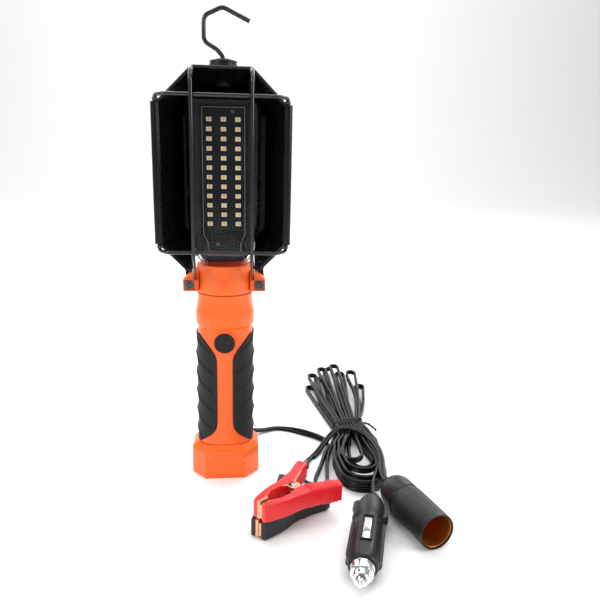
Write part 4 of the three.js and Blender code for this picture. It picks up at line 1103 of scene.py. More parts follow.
@dataclass
class Handle:
    """The two-shell handle with its neck, moulded lines and screws."""

    stations: tuple = (
        (25.1, 19.0, 16.2, 2.7), (25.6, 19.4, 16.6, 2.7), (60.0, 19.45, 16.9, 2.7), (109.0, 19.6, 17.6, 2.7),
        (111.2, 19.3, 17.9, 2.4), (113.6, 19.3, 18.1, 2.3), (114.4, 19.9, 18.9, 2.25),
        (115.2, 20.6, 19.4, 2.2),
        (116.4, 20.9, 19.65, 2.2), (120.0, 20.9, 19.7, 2.15), (124.6, 20.85, 19.65, 2.1),
        (125.4, 20.5, 19.5, 2.1),
        (129.0, 19.95, 19.5, 2.05), (133.7, 19.3, 19.3, 2.0), (137.2, 19.3, 19.3, 2.0),
        (137.7, 18.9, 18.9, 2.0),
    )
    neck_radius: float = 16.8
    neck_top: float = 156.6
    seam: float = 0.12

    def section(self, z: float, grow: float = 0.0) -> tuple:
        """Return half width, half depth and power at a height."""
        rows = self.stations
        low = max((r for r in rows if r[0] <= z), default=rows[0], key=lambda r: r[0])
        high = min((r for r in rows if r[0] >= z), default=rows[-1], key=lambda r: r[0])
        t = 0.0 if low[0] == high[0] else (z - low[0]) / (high[0] - low[0])
        mixed = [a + (b - a) * t for a, b in zip(low, high)]
        return mixed[1] + grow, mixed[2] + grow, mixed[3]

    def half(self, side: int) -> Shape:
        """Return one shell: -1 is the front, 1 the rear."""
        rings = []
        count = 44
        rows = [*self.stations, (137.75, self.neck_radius + 0.6, self.neck_radius + 0.6, 2.0),
                (138.1, self.neck_radius, self.neck_radius, 2.0),
                (self.neck_top, self.neck_radius, self.neck_radius, 2.0)]
        for z, half_width, half_depth, power in rows:
            wall = 2.2
            outer = [superellipse(math.pi * i / count, half_width, half_depth, power)
                     for i in range(count + 1)]
            inner = [superellipse(math.pi * (count - i) / count, half_width - wall, half_depth - wall,
                    power) for i in range(count + 1)]
            points = [(x, side * (max(y, 0) + self.seam), z) for x, y in outer + inner]
            rings.append(points if side > 0 else points[::-1])
        return loft(rings)

    def build(self) -> None:
        """Make both shells and dress what they hold."""
        new_piece("handle_front_shell", self.half(-1), ORANGE, nodes=("handle_front",),
                  smooth=28)
        new_piece("handle_rear_shell", self.half(1), ORANGE, nodes=("handle_rear",),
                  smooth=28)
        for name, z in (("lower", 34.0), ("upper", 123.0)):
            depth = self.section(z)[1]
            seat = lathe([(2.9, depth - 1.2), (3.9, depth - 1.2), (3.9, depth + 0.15), (3.5, depth + 0.35),
                          (3.1, depth + 0.35), (2.9, depth + 0.1)], 32, ring=True)
            head = lathe([(2.75, depth - 1.6), (2.75, depth - 0.4), (2.3, depth - 0.05),
                          (0.9, depth + 0.02), (0.9, depth - 0.5)], 28)
            new_piece(f"screw_seat_{name}", seat.moved(facing_front(0, z)), ORANGE)
            new_piece(f"handle_screw_head_{name}", head.moved(facing_front(0, z)), STEEL,
                      nodes=(f"handle_screw_{name}",))
        for node, finish in (("switch_body", PLASTIC), ("driver_board", CIRCUIT), ("lamp_wires", WIRE_RED)):
            dress(node, finish)


@dataclass
class GripPad:
    """A moulded rubber pad that wraps round one side of the handle."""

    handle: Handle
    edge: tuple = (
        (25.8, 17.8), (28.3, 15.6), (33.8, 9.2), (37.3, 6.6), (41.0, 5.6), (50.0, 5.4), (84.0, 5.4),
        (91.3, 5.5),
        (94.5, 6.4), (98.3, 8.6), (104.5, 13.2), (107.8, 16.2), (109.3, 17.8),
    )
    thickness: float = 1.15
    bump: float = 0.95
    bumps: tuple = (35.2, 49.8, 64.4, 79.0, 93.6)
    lip: float = 1.8
    groove_slope: float = 0.72
    groove_bend: float = 5.0
    groove_pitch: float = 14.6
    groove_start: float = 35.2

    def inner_edge(self, z: float) -> float:
        """Return how far from the middle the pad starts at a height."""
        for (z0, x0), (z1, x1) in zip(self.edge, self.edge[1:]):
            if z0 <= z <= z1:
                return x0 + (x1 - x0) * (z - z0) / (z1 - z0)
        return self.edge[-1][1]

    def angle_at(self, x: float, half_width: float, half_depth: float, power: float) -> float:
        """Return the angle from +X at which the handle's skin is at a distance x from the middle."""
        low, high = 0.0, math.pi / 2
        for _ in range(30):
            middle = (low + high) / 2
            if superellipse(middle, half_width, half_depth, power)[0] > x:
                low = middle
            else:
                high = middle
        return low

    def height(self, arc: float, half_arc: float, z: float) -> float:
        """Return how far the pad stands proud at a place.

        Args:
            arc: Distance round the handle from the side's middle, negative at the front.
            half_arc: Distance from the side's middle to the pad's edge.
            z: Height.

        Returns:
            The thickness there.
        """
        z0, z1 = self.edge[0][0], self.edge[-1][0]
        margin = min(half_arc - abs(arc), (z - z0) * 1.1, (z1 - z) * 1.1)
        rise = min(1.0, max(0.0, margin) / 0.7)
        rise = math.sin(rise * math.pi / 2)
        value = self.thickness * rise
        inside = min(1.0, max(0.0, (margin - self.lip) / 0.8))
        value -= 0.5 * inside
        swell = max(math.exp(-((z - b) / 2.6) ** 2) for b in self.bumps)
        value += self.bump * swell * max(0.0, 1 - abs(arc) / 9.5) * rise
        along = z + self.groove_slope * max(0.0, abs(arc) - self.groove_bend)
        phase = (along - self.groove_start) % self.groove_pitch
        gap = min(phase, self.groove_pitch - phase)
        if margin > self.lip + 0.3:
            fade = min(1.0, (margin - self.lip - 0.3) / 1.2)
            if gap < 0.8:
                value -= 0.55 * fade * (1 - (gap / 0.8) ** 2)
            else:
                value += 0.5 * fade * max(0.0, 1 - (self.groove_pitch - phase) / 9.0)
        return max(value, 0.02)

    def shape(self) -> Shape:
        """Return the right pad."""
        z0, z1 = self.edge[0][0], self.edge[-1][0]
        rows, columns = 210, 84
        verts = []
        for r in range(rows + 1):
            z = z0 + (z1 - z0) * r / rows
            half_width, half_depth, power = self.handle.section(z)
            limit = self.angle_at(self.inner_edge(z), half_width, half_depth, power)
            points = [superellipse(-limit + 2 * limit * i / columns, half_width, half_depth, power)
                      for i in range(columns + 1)]
            arcs = [0.0]
            for a, b in zip(points, points[1:]):
                arcs.append(arcs[-1] + math.hypot(b[0] - a[0], b[1] - a[1]))
            half_arc = arcs[-1] / 2
            for i, (x, y) in enumerate(points):
                a, b = points[max(i - 1, 0)], points[min(i + 1, columns)]
                normal = Vector((b[1] - a[1], a[0] - b[0]))
                normal = normal.normalized() if normal.length > 1e-9 else Vector((1, 0))
                proud = self.height(arcs[i] - half_arc, half_arc, z)
                verts.append((x + normal.x * proud, y + normal.y * proud, z))
        back = []
        for r in range(rows + 1):
            z = z0 + (z1 - z0) * r / rows
            half_width, half_depth, power = self.handle.section(z, -0.35)
            limit = self.angle_at(self.inner_edge(z), half_width, half_depth, power)
            for i in range(columns + 1):
                x, y = superellipse(-limit + 2 * limit * i / columns, half_width, half_depth, power)
                back.append((x, y, z))
        width = columns + 1
        faces = []
        base = len(verts)
        for r in range(rows):
            for i in range(columns):
                a = r * width + i
                faces.append((a, a + 1, a + width + 1, a + width))
                faces.append((base + a, base + a + width, base + a + width + 1, base + a + 1))
        for i in range(columns):
            faces.append((base + i, base + i + 1, i + 1, i))
            a = rows * width + i
            faces.append((a, a + 1, base + a + 1, base + a))
        for r in range(rows):
            a, b = r * width, (r + 1) * width
            faces.append((a, b, base + b, base + a))
            a, b = a + columns, b + columns
            faces.append((b, a, base + a, base + b))
        return Shape(verts + back, faces)

    def build(self) -> None:
        """Make the two pads."""
        right = self.shape()
        new_piece("grip_pad_right", right, RUBBER, nodes=("grip_right",), smooth=60)
        new_piece("grip_pad_left", right.mirrored(), RUBBER, nodes=("grip_left",), smooth=60)


@dataclass
class Switch:
    """The round push button with its soft cap."""

    z: float = 104.1
    radius: float = 7.1
    face: float = 20.1

    def build(self) -> None:
        """Make the button."""
        face, r = self.face, self.radius
        profile = [(r, -14.5), (r, -face + 1.0), (r - 0.3, -face + 0.35), (r - 0.9, -face),
                   (r - 1.7, -face + 0.1),
                   (r - 2.0, -face + 0.45), (r - 2.3, -face + 0.45), (r - 2.7, -face + 0.1),
                   (3.2, -face - 0.12),
                   (1.6, -face - 0.2), (0.4, -face - 0.22)]
        cap = lathe(profile[::-1], 56)
        mark = lathe([(1.5, -face - 0.36), (2.0, -face - 0.36), (2.0, -face - 0.1), (1.5, -face - 0.1)], 36,
                     ring=True)
        bar = box_shape((-0.24, 0.3, -face - 0.36), (0.24, 2.4, -face - 0.1), 0.06)
        turn = facing_front(0, self.z)
        shape = cap.plus(mark).moved(turn)
        bar = bar.moved(turn @ Matrix.Rotation(math.pi, 4, "Z"))
        new_piece("power_button", shape.plus(bar), RUBBER, body="button",
                  nodes=("switch_button",))
        well = lathe([(7.3, -18.9), (8.3, -18.9), (8.5, -18.2), (8.5, -15.5), (7.3, -15.5)][::-1], 56,
                     ring=True)
        new_piece("button_well", well.moved(turn), ORANGE)


# ----------------------------------------------------------------------
# Collar
# ----------------------------------------------------------------------
@dataclass
class Collar:
    """Two half rings that clamp the neck, with ears for the shield's lugs."""

    low: float = 138.3
    high: float = 158.3
    inner: float = 17.2
    outer: float = 19.4
    ear_reach: float = 28.2
    ear_front: float = -11.0
    ear_rear: float = 9.0
    parting: float = 0.8
    clamp_x: float = 24.0
    clamp_z: float = 144.4

    def ear(self, front: float, back: float) -> Shape:
        """Return the right ear between two depths."""
        low, high, reach = self.low + 1.2, self.low + 15.3, self.ear_reach
        outline = [(self.inner + 0.6, low), (reach, low), (reach, high - 5), (reach - 7, high),
                   (self.inner + 0.6, high)]
        return upright(softened(outline, 1.0, 3, True), front, back, 0.5)

    def frame_round_nut(self) -> Shape:
        """Return the raised rim of the square seat in the front ear."""
        half, wall = 3.5, 0.95
        x, z, front = self.clamp_x, self.clamp_z, self.ear_front
        outer = softened([(-half - wall, -half - wall), (half + wall, -half - wall),
                (half + wall, half + wall), (-half - wall, half + wall)], 0.9, 3, True)
        inner = softened([(-half, -half), (half, -half), (half, half), (-half, half)], 0.5, 3, True)
        rings = []
        for outline, y in ((outer, front + 0.5), (outer, front - 0.75), (offset(outer, -0.3), front - 1.0),
                (offset(inner, 0.2), front - 1.0), (inner, front - 0.8), (inner, front + 0.5)):
            rings.append([(x + a, y, z + b) for a, b in outline][::-1])
        return loft([r[::-1] for r in rings], closed=True)

    def half_ring(self, side: int) -> Shape:
        """Return one half of the ring: -1 is the front."""
        count = 48
        lip = 0.35
        rows = [(self.inner, self.low), (self.outer - lip, self.low), (self.outer, self.low + lip),
                (self.outer, self.low + 6),
                (self.outer, self.high - lip), (self.outer - lip, self.high), (self.inner + lip, self.high),
                (self.inner, self.high - lip),
                (self.inner, self.high - 8)]
        start = math.asin(self.parting / self.outer)
        rings = []
        for i in range(count + 1):
            a = start + (math.pi - 2 * start) * i / count
            rings.append([(r * math.cos(a), side * r * math.sin(a), z) for r,
                          z in (rows if side < 0 else rows[::-1])])
        return loft(rings[::-1] if side > 0 else rings)

    def emblem(self) -> Shape:
        """Return the small moulded drop-in-ring emblem on the front."""
        z, reach = 146.2, self.outer + 0.12
        ring = []
        for i in range(40):
            a = TURN * i / 40
            x, rise = 2.5 * math.sin(a), 2.5 * math.cos(a)
            ring.append((x, -math.sqrt(reach * reach - x * x), z + rise))
        wide = [(0, -1, 0)] * 42
        loop = sweep([*ring, ring[0], ring[1]], circle(0.42, 8), wide)
        arch = []
        for i in range(13):
            a = math.pi * i / 12
            x, rise = 1.1 * math.cos(a), -1.0 + 2.2 * math.sin(a)
            arch.append((x, -math.sqrt(reach * reach - x * x), z + rise))
        return loop.plus(sweep(arch, circle(0.36, 8), [(0, -1, 0)] * 13))

    def hardware(self, x: float, place: str) -> None:
        """Make the clamp screw and nut at one ear."""
        turn = facing_front(x, self.clamp_z)
        head = [(1.5, -12.9), (1.5, 9.2), (2.8, 9.2), (2.85, 10.0), (2.6, 10.7), (1.9, 11.2), (1.0, 11.3),
                (1.0, 10.4)]
        screw = lathe(softened(head, 0.15, 2), 32)
        side = 3.0
        square = softened([(-side, -side), (side, -side), (side, side), (-side, side)], 0.35, 3, True)
        nut = prism(square, -12.2, -9.5, 0.3)
        rim = lathe([(1.7, -12.75), (2.3, -12.7), (2.5, -12.1), (1.7, -12.1)][::-1], 24, ring=True)
        new_piece(f"clamp_bolt_{place}", screw.moved(turn), DARK_STEEL,
                  nodes=(f"clamp_screw_{place}",))
        new_piece(f"clamp_square_nut_{place}", nut.plus(rim).moved(turn), DARK_STEEL,
                  nodes=(f"clamp_nut_{place}",))

    def build(self) -> None:
        """Make both halves and their hardware."""
        front = self.ear(self.ear_front, -self.parting)
        rear = self.ear(self.parting, self.ear_rear)
        nut = self.frame_round_nut()
        new_piece("collar_front_half", self.half_ring(-1).plus(front, front.mirrored(), nut, nut.mirrored(),
                self.emblem()),
                  ORANGE, nodes=("collar_front",))
        new_piece("collar_rear_half", self.half_ring(1).plus(rear, rear.mirrored()), ORANGE,
                  nodes=("collar_rear",))
        # Painted shade: a liner and a disc in darkened orange stand for the shadow inside the collar, seen
        # above its front rim and through the lens bottom.
        liner = lathe([(14.5, 150.0), (17.15, 150.0), (17.15, 157.9), (14.5, 157.2)], 64, ring=True)
        web = lathe([(0.2, 157.0), (16.9, 157.0), (16.9, 158.1), (0.2, 158.1)], 64)
        new_piece("collar_painted_shade_lining", liner.plus(web), PAINTED_SHADE_ORANGE)
        self.hardware(-self.clamp_x, "left")
        self.hardware(self.clamp_x, "right")


# ----------------------------------------------------------------------
# Shield and guard
# ----------------------------------------------------------------------
@dataclass
class Shield:
    """The folded sheet-metal hood with rolled edges."""

    half: float = 41.0
    top: float = 285.0
    bottom: float = 158.6
    corner: float = 22.4
    low_corner: float = 16.9
    rim_y: float = -32.0
    panel_y: float = 20.0
    inset: float = 11.5
    wall: float = 1.0
    foot_half: float = 20.5
    sleeve: float = 2.6
    lug_width: float = 6.7

    def outline(self, depth: float, inward: float = 0.0) -> list:
        """Return the eight corners at a depth, from the lower right, counter-clockwise from the front."""
        t = (depth - self.rim_y) / (self.panel_y - self.rim_y)
        shrink = self.inset * t + inward
        taper = shrink * (2 - math.sqrt(2))
        leg, low_leg = self.corner - taper, self.low_corner - taper
        half, top, bottom = self.half - shrink, self.top - shrink, self.bottom + shrink
        right = [(half - low_leg, bottom), (half, bottom + low_leg), (half, top - leg), (half - leg, top)]
        return right + [(-x, z) for x, z in reversed(right)]

    def skin(self) -> Shape:
        """Return the hood's seven walls as one folded sheet, without the bottom's middle."""
        depths = [self.rim_y + (self.panel_y - self.rim_y) * i / 6 for i in range(7)]
        outer_rings, inner_rings = [], []
        for y in depths:
            outer = softened(self.outline(y), 1.6, 3, True)
            inner = softened(self.outline(y, self.wall), 0.9, 3, True)
            outer_rings.append([(x, y, z) for x, z in outer])
            inner_rings.append([(x, min(y, self.panel_y - self.wall), z) for x, z in inner])
        count = len(outer_rings[0])
        keep = [not self.in_foot(outer_rings[0][i], outer_rings[0][(i + 1) % count]) for i in range(count)]
        verts = [p for ring in outer_rings for p in ring] + [p for ring in inner_rings for p in ring]
        base = count * len(depths)
        faces = []
        for r in range(len(depths) - 1):
            for i in range(count):
                if not keep[i]:
                    continue
                k = (i + 1) % count
                a, b, c, d = r * count + i, r * count + k, (r + 1) * count + k, (r + 1) * count + i
                faces.append((a, d, c, b))
                faces.append((base + a, base + b, base + c, base + d))
        for i in range(count):
            if keep[i]:
                k = (i + 1) % count
                faces.append((i, k, base + k, base + i))
        last = (len(depths) - 1) * count
        faces.append(tuple(last + i for i in range(count))[::-1])
        faces.append(tuple(base + last + i for i in range(count)))
        shape = Shape(verts, faces)
        strips = []
        for side in (-1, 1):
            reach0, reach1 = self.half - self.low_corner, self.outline(self.panel_y)[0][0]
            if reach0 > self.foot_half:
                verts = []
                for y, reach in ((self.rim_y, reach0 + 0.8),
                        (self.panel_y, max(reach1, self.foot_half) + 0.8)):
                    z = self.bottom + self.inset * (y - self.rim_y) / (self.panel_y - self.rim_y)
                    verts += [(side * self.foot_half, y, z), (side * reach, y, z),
                              (side * reach, y, z + self.wall), (side * self.foot_half, y, z + self.wall)]
                rings = [verts[:4], verts[4:]]
                strips.append(loft(rings if side < 0 else [r[::-1] for r in rings]))
        return shape.plus(*strips)

    def in_foot(self, a: tuple, b: tuple) -> bool:
        """Return whether an edge of the outline belongs to the bottom wall's middle."""
        return abs(a[2] - self.bottom) < 0.01 and abs(b[2] - self.bottom) < 0.01 and a[0] * b[0] < 0

    def rolled_edge(self) -> Shape:
        """Return the right-hand rolled sleeve, open along its rear."""
        low, high = self.bottom + self.low_corner + 0.6, self.top - self.corner + 0.6
        count, wall = 22, 0.75
        start, stop = math.radians(-215), math.radians(95)
        arc = [start + (stop - start) * i / count for i in range(count + 1)]
        section = [(self.sleeve * math.cos(a), self.sleeve * math.sin(a)) for a in arc]
        section += [((self.sleeve - wall) * math.cos(a), (self.sleeve - wall) * math.sin(a))
                    for a in reversed(arc)]
        rings = []
        for z, shrink in ((low, 0.2), (low + 0.25, 0.0), (high - 0.25, 0.0), (high, 0.2)):
            rings.append([(self.half - 0.1 + x * (1 - shrink * 0.04), self.rim_y + y * (1 - shrink * 0.04),
                           z) for x, y in section])
        return loft(rings)

    def hems(self) -> Shape:
        """Return the folded hems along the slanting and top edges of the rim."""
        corners = self.outline(self.rim_y)
        shapes = []
        for (x0, z0), (x1, z1) in ((corners[2], corners[3]), (corners[3], corners[4]),
                (corners[4], corners[5]),
                (corners[0], corners[1]), (corners[6], corners[7])):
            a, b = Vector((x0, self.rim_y + 0.35, z0)), Vector((x1, self.rim_y + 0.35, z1))
            along = (b - a).normalized()
            inward = Vector((-along.z, 0, along.x))
            centre = inward * 0.75
            shapes.append(sweep([a + centre + along * 0.4, b + centre - along * 0.4], circle(0.85, 14)))
        return shapes[0].plus(*shapes[1:])

    def lugs(self) -> Shape:
        """Return the two lugs that the collar clamps."""
        low = 139.5
        slope = self.inset / (self.panel_y - self.rim_y)
        z = self.bottom + slope * (0 - self.rim_y)
        x0, x1 = self.foot_half + 0.3, self.foot_half + 0.3 + self.lug_width
        outline = [(x0, low), (x1, low), (x1, z + 6.0), (x0, z + 1.5)]
        lug = upright(softened(outline, 1.2, 3, True), -0.5, 0.5, 0.2)
        return lug.plus(lug.mirrored())

    def build(self) -> None:
        """Make the hood."""
        edge = self.rolled_edge()
        ribs = []
        for side in (-1, 1):
            path = [(side * 16, self.panel_y + 0.15, 196), (side * 16, self.panel_y + 0.15, 252)]
            rib = sweep(path, [(1.6 * math.cos(TURN * i / 12), 0.7 * math.sin(TURN * i / 12))
                    for i in range(12)], [(1, 0, 0)] * 2)
            ribs.append(rib)
        shape = self.skin().plus(edge, edge.mirrored(), self.hems(), self.lugs(), *ribs)
        new_piece("hood", shape, PAINT, nodes=("shield",), smooth=30)


@dataclass
class Guard:
    """The wire hoop across the front, two upright wires and their welds."""

    wire: float = 1.25
    hoop_y: float = -40.2
    hoop_top: float = 267.4
    hoop_bottom: float = 171.7
    rim_y: float = -32.0
    side: float = 40.9
    front: float = 34.9
    bar_x: float = 18.3
    foot_x: float = 19.4
    bar_y: float = -43.0

    def build(self) -> None:
        """Make the guard."""
        side, front, rim_y = self.side, self.front, self.rim_y
        loop = [(-side, rim_y, 219.8), (-side, rim_y, self.hoop_top), (-front, self.hoop_y, self.hoop_top),
                (front, self.hoop_y, self.hoop_top),
                (side, rim_y, self.hoop_top), (side, rim_y, self.hoop_bottom),
                (front, self.hoop_y, self.hoop_bottom),
                (-front, self.hoop_y, self.hoop_bottom), (-side, rim_y, self.hoop_bottom),
                (-side, rim_y, 219.2)]
        path = softened(loop, 3.6, 8)
        shape = sweep(path, circle(self.wire, 16))
        ends = [bead((sx * 40.4, -33.0, z), 1.9, 0.75) for sx in (-1, 1)
                for z in (self.hoop_bottom + 2.6, self.hoop_top - 2.6)]
        new_piece("guard_hoop", shape.plus(*ends), WIRE, nodes=("guard_loop",), smooth=60)
        for name, sx in (("left", -1), ("right", 1)):
            x, foot_x = sx * self.bar_x, sx * self.foot_x
            bar = [(x, -32.4, 283.6), (x, -39.6, 281.6), (x, self.bar_y, 276.6), (x, self.bar_y, 168.7),
                   (foot_x, -23, 155.1), (foot_x, -14, 149.1), (foot_x, -8.5, 149.1)]
            wire = sweep(softened(bar, 4.5, 8), circle(self.wire, 16))
            welds = [bead((x, -32.6, 283.2), 2.0, 0.7)]
            welds += [bead((x, -41.7, z), 1.75, 0.8) for z in (self.hoop_top, self.hoop_bottom)]
            new_piece(f"guard_bar_{name}", wire.plus(*welds), WIRE,
                      nodes=(f"guard_wire_{name}",), smooth=60)


# ----------------------------------------------------------------------
# Lamp head
# ----------------------------------------------------------------------
@dataclass
class LampHead:
    """The clear lens, the tray behind it and the LED board between them."""

    half: float = 24.5
    top: float = 269.3
    waist_z: float = 193.0
    knee: tuple = (21.3, 168.0)
    toe: tuple = (15.8, 158.9)
    front: float = -15.0
    back: float = 3.0
    tray_back: float = 10.0
    board_y: float = -5.6
    board_half: float = 15.3
    tail_half: float = 12.2
    led_rows: int = 12
    led_columns: int = 3
    led_pitch: tuple = (9.5, 6.25)
    led_top: float = 254.9
    led_half: tuple = (1.75, 1.4)
    pad_half: tuple = (1.15, 0.95)

    def outline(self, inset: float, corner: float = 5.0) -> Profile:
        """Return the lens outline, counter-clockwise from the front."""
        right = [(self.toe[0] - inset, self.toe[1] + inset),
                 (self.knee[0] - inset, self.knee[1] + inset * 0.2),
                 (self.half - inset, self.waist_z), (self.half - inset, self.top - inset)]
        full = right + [(-x, z) for x, z in reversed(right)]
        return softened(full, corner, 5, True)

    def cover(self) -> Shape:
        """Return the lens as an open shell with a soft front edge."""
        steps = [(0.0, self.back), (0.0, self.back - 4), (0.0, self.back - 8), (0.0, self.front + 3.4),
                 (0.35, self.front + 1.9),
                 (1.1, self.front + 0.8), (2.2, self.front + 0.15), (3.6, self.front)]
        outer = [[(x, y, z) for x, z in self.outline(inset)] for inset, y in steps]
        wall = 1.9
        inner_steps = [(3.6 + 0.3, self.front + wall), (2.6 + 0.6, self.front + wall + 0.3),
                       (wall + 0.3, self.front + wall + 1.6), (wall, self.back)]
        inner = [[(x, y, z) for x, z in self.outline(inset)] for inset, y in inner_steps]
        count = len(outer[0])
        outer = [r[::-1] for r in outer]
        inner = [r[::-1] for r in inner]
        front_cap = Shape(outer[-1], [tuple(range(count))])
        back_cap = Shape(inner[0], [tuple(range(count))[::-1]])
        walls = loft(outer, caps=False)
        inside = loft(inner, caps=False)
        rim = loft([inner[-1], outer[0]], caps=False)
        return weld(walls.plus(inside, rim, front_cap, back_cap))

    def prisms(self) -> Shape:
        """Return the small catch ribs moulded along the lens sides."""
        shapes = []
        for i in range(9):
            z = 184.0 + i * 9.4
            for side in (-1, 1):
                x = side * 22.1
                shapes.append(box_shape((x - 0.35, -9.5, z), (x + 0.35, -1.5, z + 5.2), 0.15))
        return shapes[0].plus(*shapes[1:])

    def board(self) -> None:
        """Make the LED board with its packages and printed outline."""
        tail, half, y = self.tail_half, self.board_half, self.board_y
        ink_y = -5.63
        right = [(tail, 162.0), (tail, 172.8), (half, 178.0), (half, 264.2)]
        full = softened(right + [(-x, z) for x, z in reversed(right)], 0.8, 2, True)
        plate = upright(full, y, -4.3, 0.15)
        new_piece("light_board", plate, BOARD, nodes=("led_board",))
        line = []
        inner = [(tail - 1.0, 164.0), (tail - 1.0, 173.3), (half - 1.3, 178.6), (half - 1.3, 262.6)]
        ring = inner + [(-x, z) for x, z in reversed(inner)]
        for (x0, z0), (x1, z1) in zip(ring, ring[1:] + ring[:1]):
            a, b = Vector((x0, ink_y, z0)), Vector((x1, ink_y, z1))
            line.append(sweep([a, b], [(0.09, -0.03), (0.09, 0.03), (-0.09, 0.03), (-0.09, -0.03)],
                    [(b - a).cross(Vector((0, 1, 0)))] * 2))
        for x, z in ((-4.5, 172.0), (6.0, 259.8)):
            mark = lathe([(0.8, 0.0), (0.95, 0.0), (0.95, 0.05), (0.8, 0.05)], 20, ring=True)
            line.append(mark.moved(Matrix.Translation((x, y, z)) @ Matrix.Rotation(math.pi / 2, 4, "X")))
        new_piece("board_print", line[0].plus(*line[1:]), BOARD_INK)
        cases, glows = [], []
        (w, h), (pad_w, pad_h), (step_x, step_z) = self.led_half, self.pad_half, self.led_pitch
        for row in range(self.led_rows):
            for column in range(self.led_columns):
                x, z = (column - 1) * step_x, self.led_top - row * step_z
                outer = [(x - w, z - h), (x + w, z - h), (x + w, z + h), (x - w, z + h)]
                cases.append(upright(softened(outer, 0.25, 2, True), -6.4, -5.5, 0.12))
                glow = [(x - pad_w, z - pad_h), (x + pad_w, z - pad_h), (x + pad_w, z + pad_h),
                        (x - pad_w, z + pad_h)]
                glows.append(upright(softened(glow, 0.4, 3, True), -6.5, -6.2, 0.08))
        new_piece("led_packages", cases[0].plus(*cases[1:]), LED_CASE)
        new_piece("led_phosphor_pads", glows[0].plus(*glows[1:]), PHOSPHOR)

    def tray(self) -> None:
        """Make the black tray and the spigot that stands in the neck."""
        plate = upright(self.outline(2.4, 4.0), -4.0, self.tray_back, 0.6)
        lip = upright(self.outline(2.2, 4.0), 1.0, 2.6, 0.3)
        spigot = lathe([(11.0, 136.2), (14.0, 136.2), (14.0, 151.0), (13.4, 151.8), (11.0, 151.8)], 40,
                       ring=True)
        stalk = box_shape((-11.9, -3.6, 150.0), (11.9, 9.6, 164.0), 0.5)
        ribs = [box_shape((x - 0.5, -11.5, 160.6), (x + 0.5, -4.0, 170.0), 0.3) for x in (-12.9, 12.9)]
        new_piece("lamp_tray", plate.plus(lip, spigot, stalk, *ribs), PLASTIC,
                  nodes=("lamp_housing",))

    def build(self) -> None:
        """Make the head."""
        new_piece("clear_cover", self.cover().plus(self.prisms()), CLEAR, nodes=("lens",),
                  smooth=45)
        self.tray()
        self.board()


def weld(shape: Shape, reach: float = 1e-4) -> Shape:
    """Merge the vertices of a shape that lie at one place."""
    index, verts, faces = {}, [], []
    place = []
    for v in shape.verts:
        key = tuple(round(c / reach) for c in v)
        if key not in index:
            index[key] = len(verts)
            verts.append(v)
        place.append(index[key])
    for face in shape.faces:
        loop = []
        for i in face:
            if not loop or place[i] != loop[-1]:
                loop.append(place[i])
        if len(loop) > 1 and loop[0] == loop[-1]:
            loop.pop()
        if len(loop) > 2:
            faces.append(tuple(loop))
    return Shape(verts, faces)


@dataclass
class Hook:
    """The bent wire hook in its swivel boss."""

    wire: float = 1.5
    boss_top: float = 291.8

    def build(self) -> None:
        """Make the hook, its nut and the boss."""
        route = [(0, 0, 282.1), (0, 0, 294.2), (-4.3, 0, 298.8), (-12.4, 0, 303.3), (-12.4, 0, 318.7),
                 (-0.4, 0, 324.4), (17.1, 0, 316.4)]
        path = softened(route, 5.6, 10)
        shape = sweep(path, circle(self.wire, 18))
        new_piece("hook_wire", shape, WIRE, body="hook", nodes=("hook",), smooth=50)
        dress("hook_nut", STEEL)
        top = self.boss_top
        profile = [(1.9, 281.0), (5.0, 281.0), (5.0, 287.9), (8.9, 288.0), (9.3, 288.4), (9.3, 289.4),
                   (8.8, 289.7), (8.8, 290.4),
                   (9.2, 290.7), (9.2, 291.4), (8.8, top), (5.8, top), (5.5, top + 0.3), (5.3, top + 0.9),
                   (4.9, top + 1.0), (1.9, top + 1.0)]
        boss = lathe(profile, 64, ring=True)
        skirt = lathe([(1.9, 276.0), (5.0, 276.0), (5.0, 281.2), (1.9, 281.2)], 48, ring=True)
        new_piece("swivel_boss", boss.plus(skirt), PLASTIC, nodes=("hook_boss",))


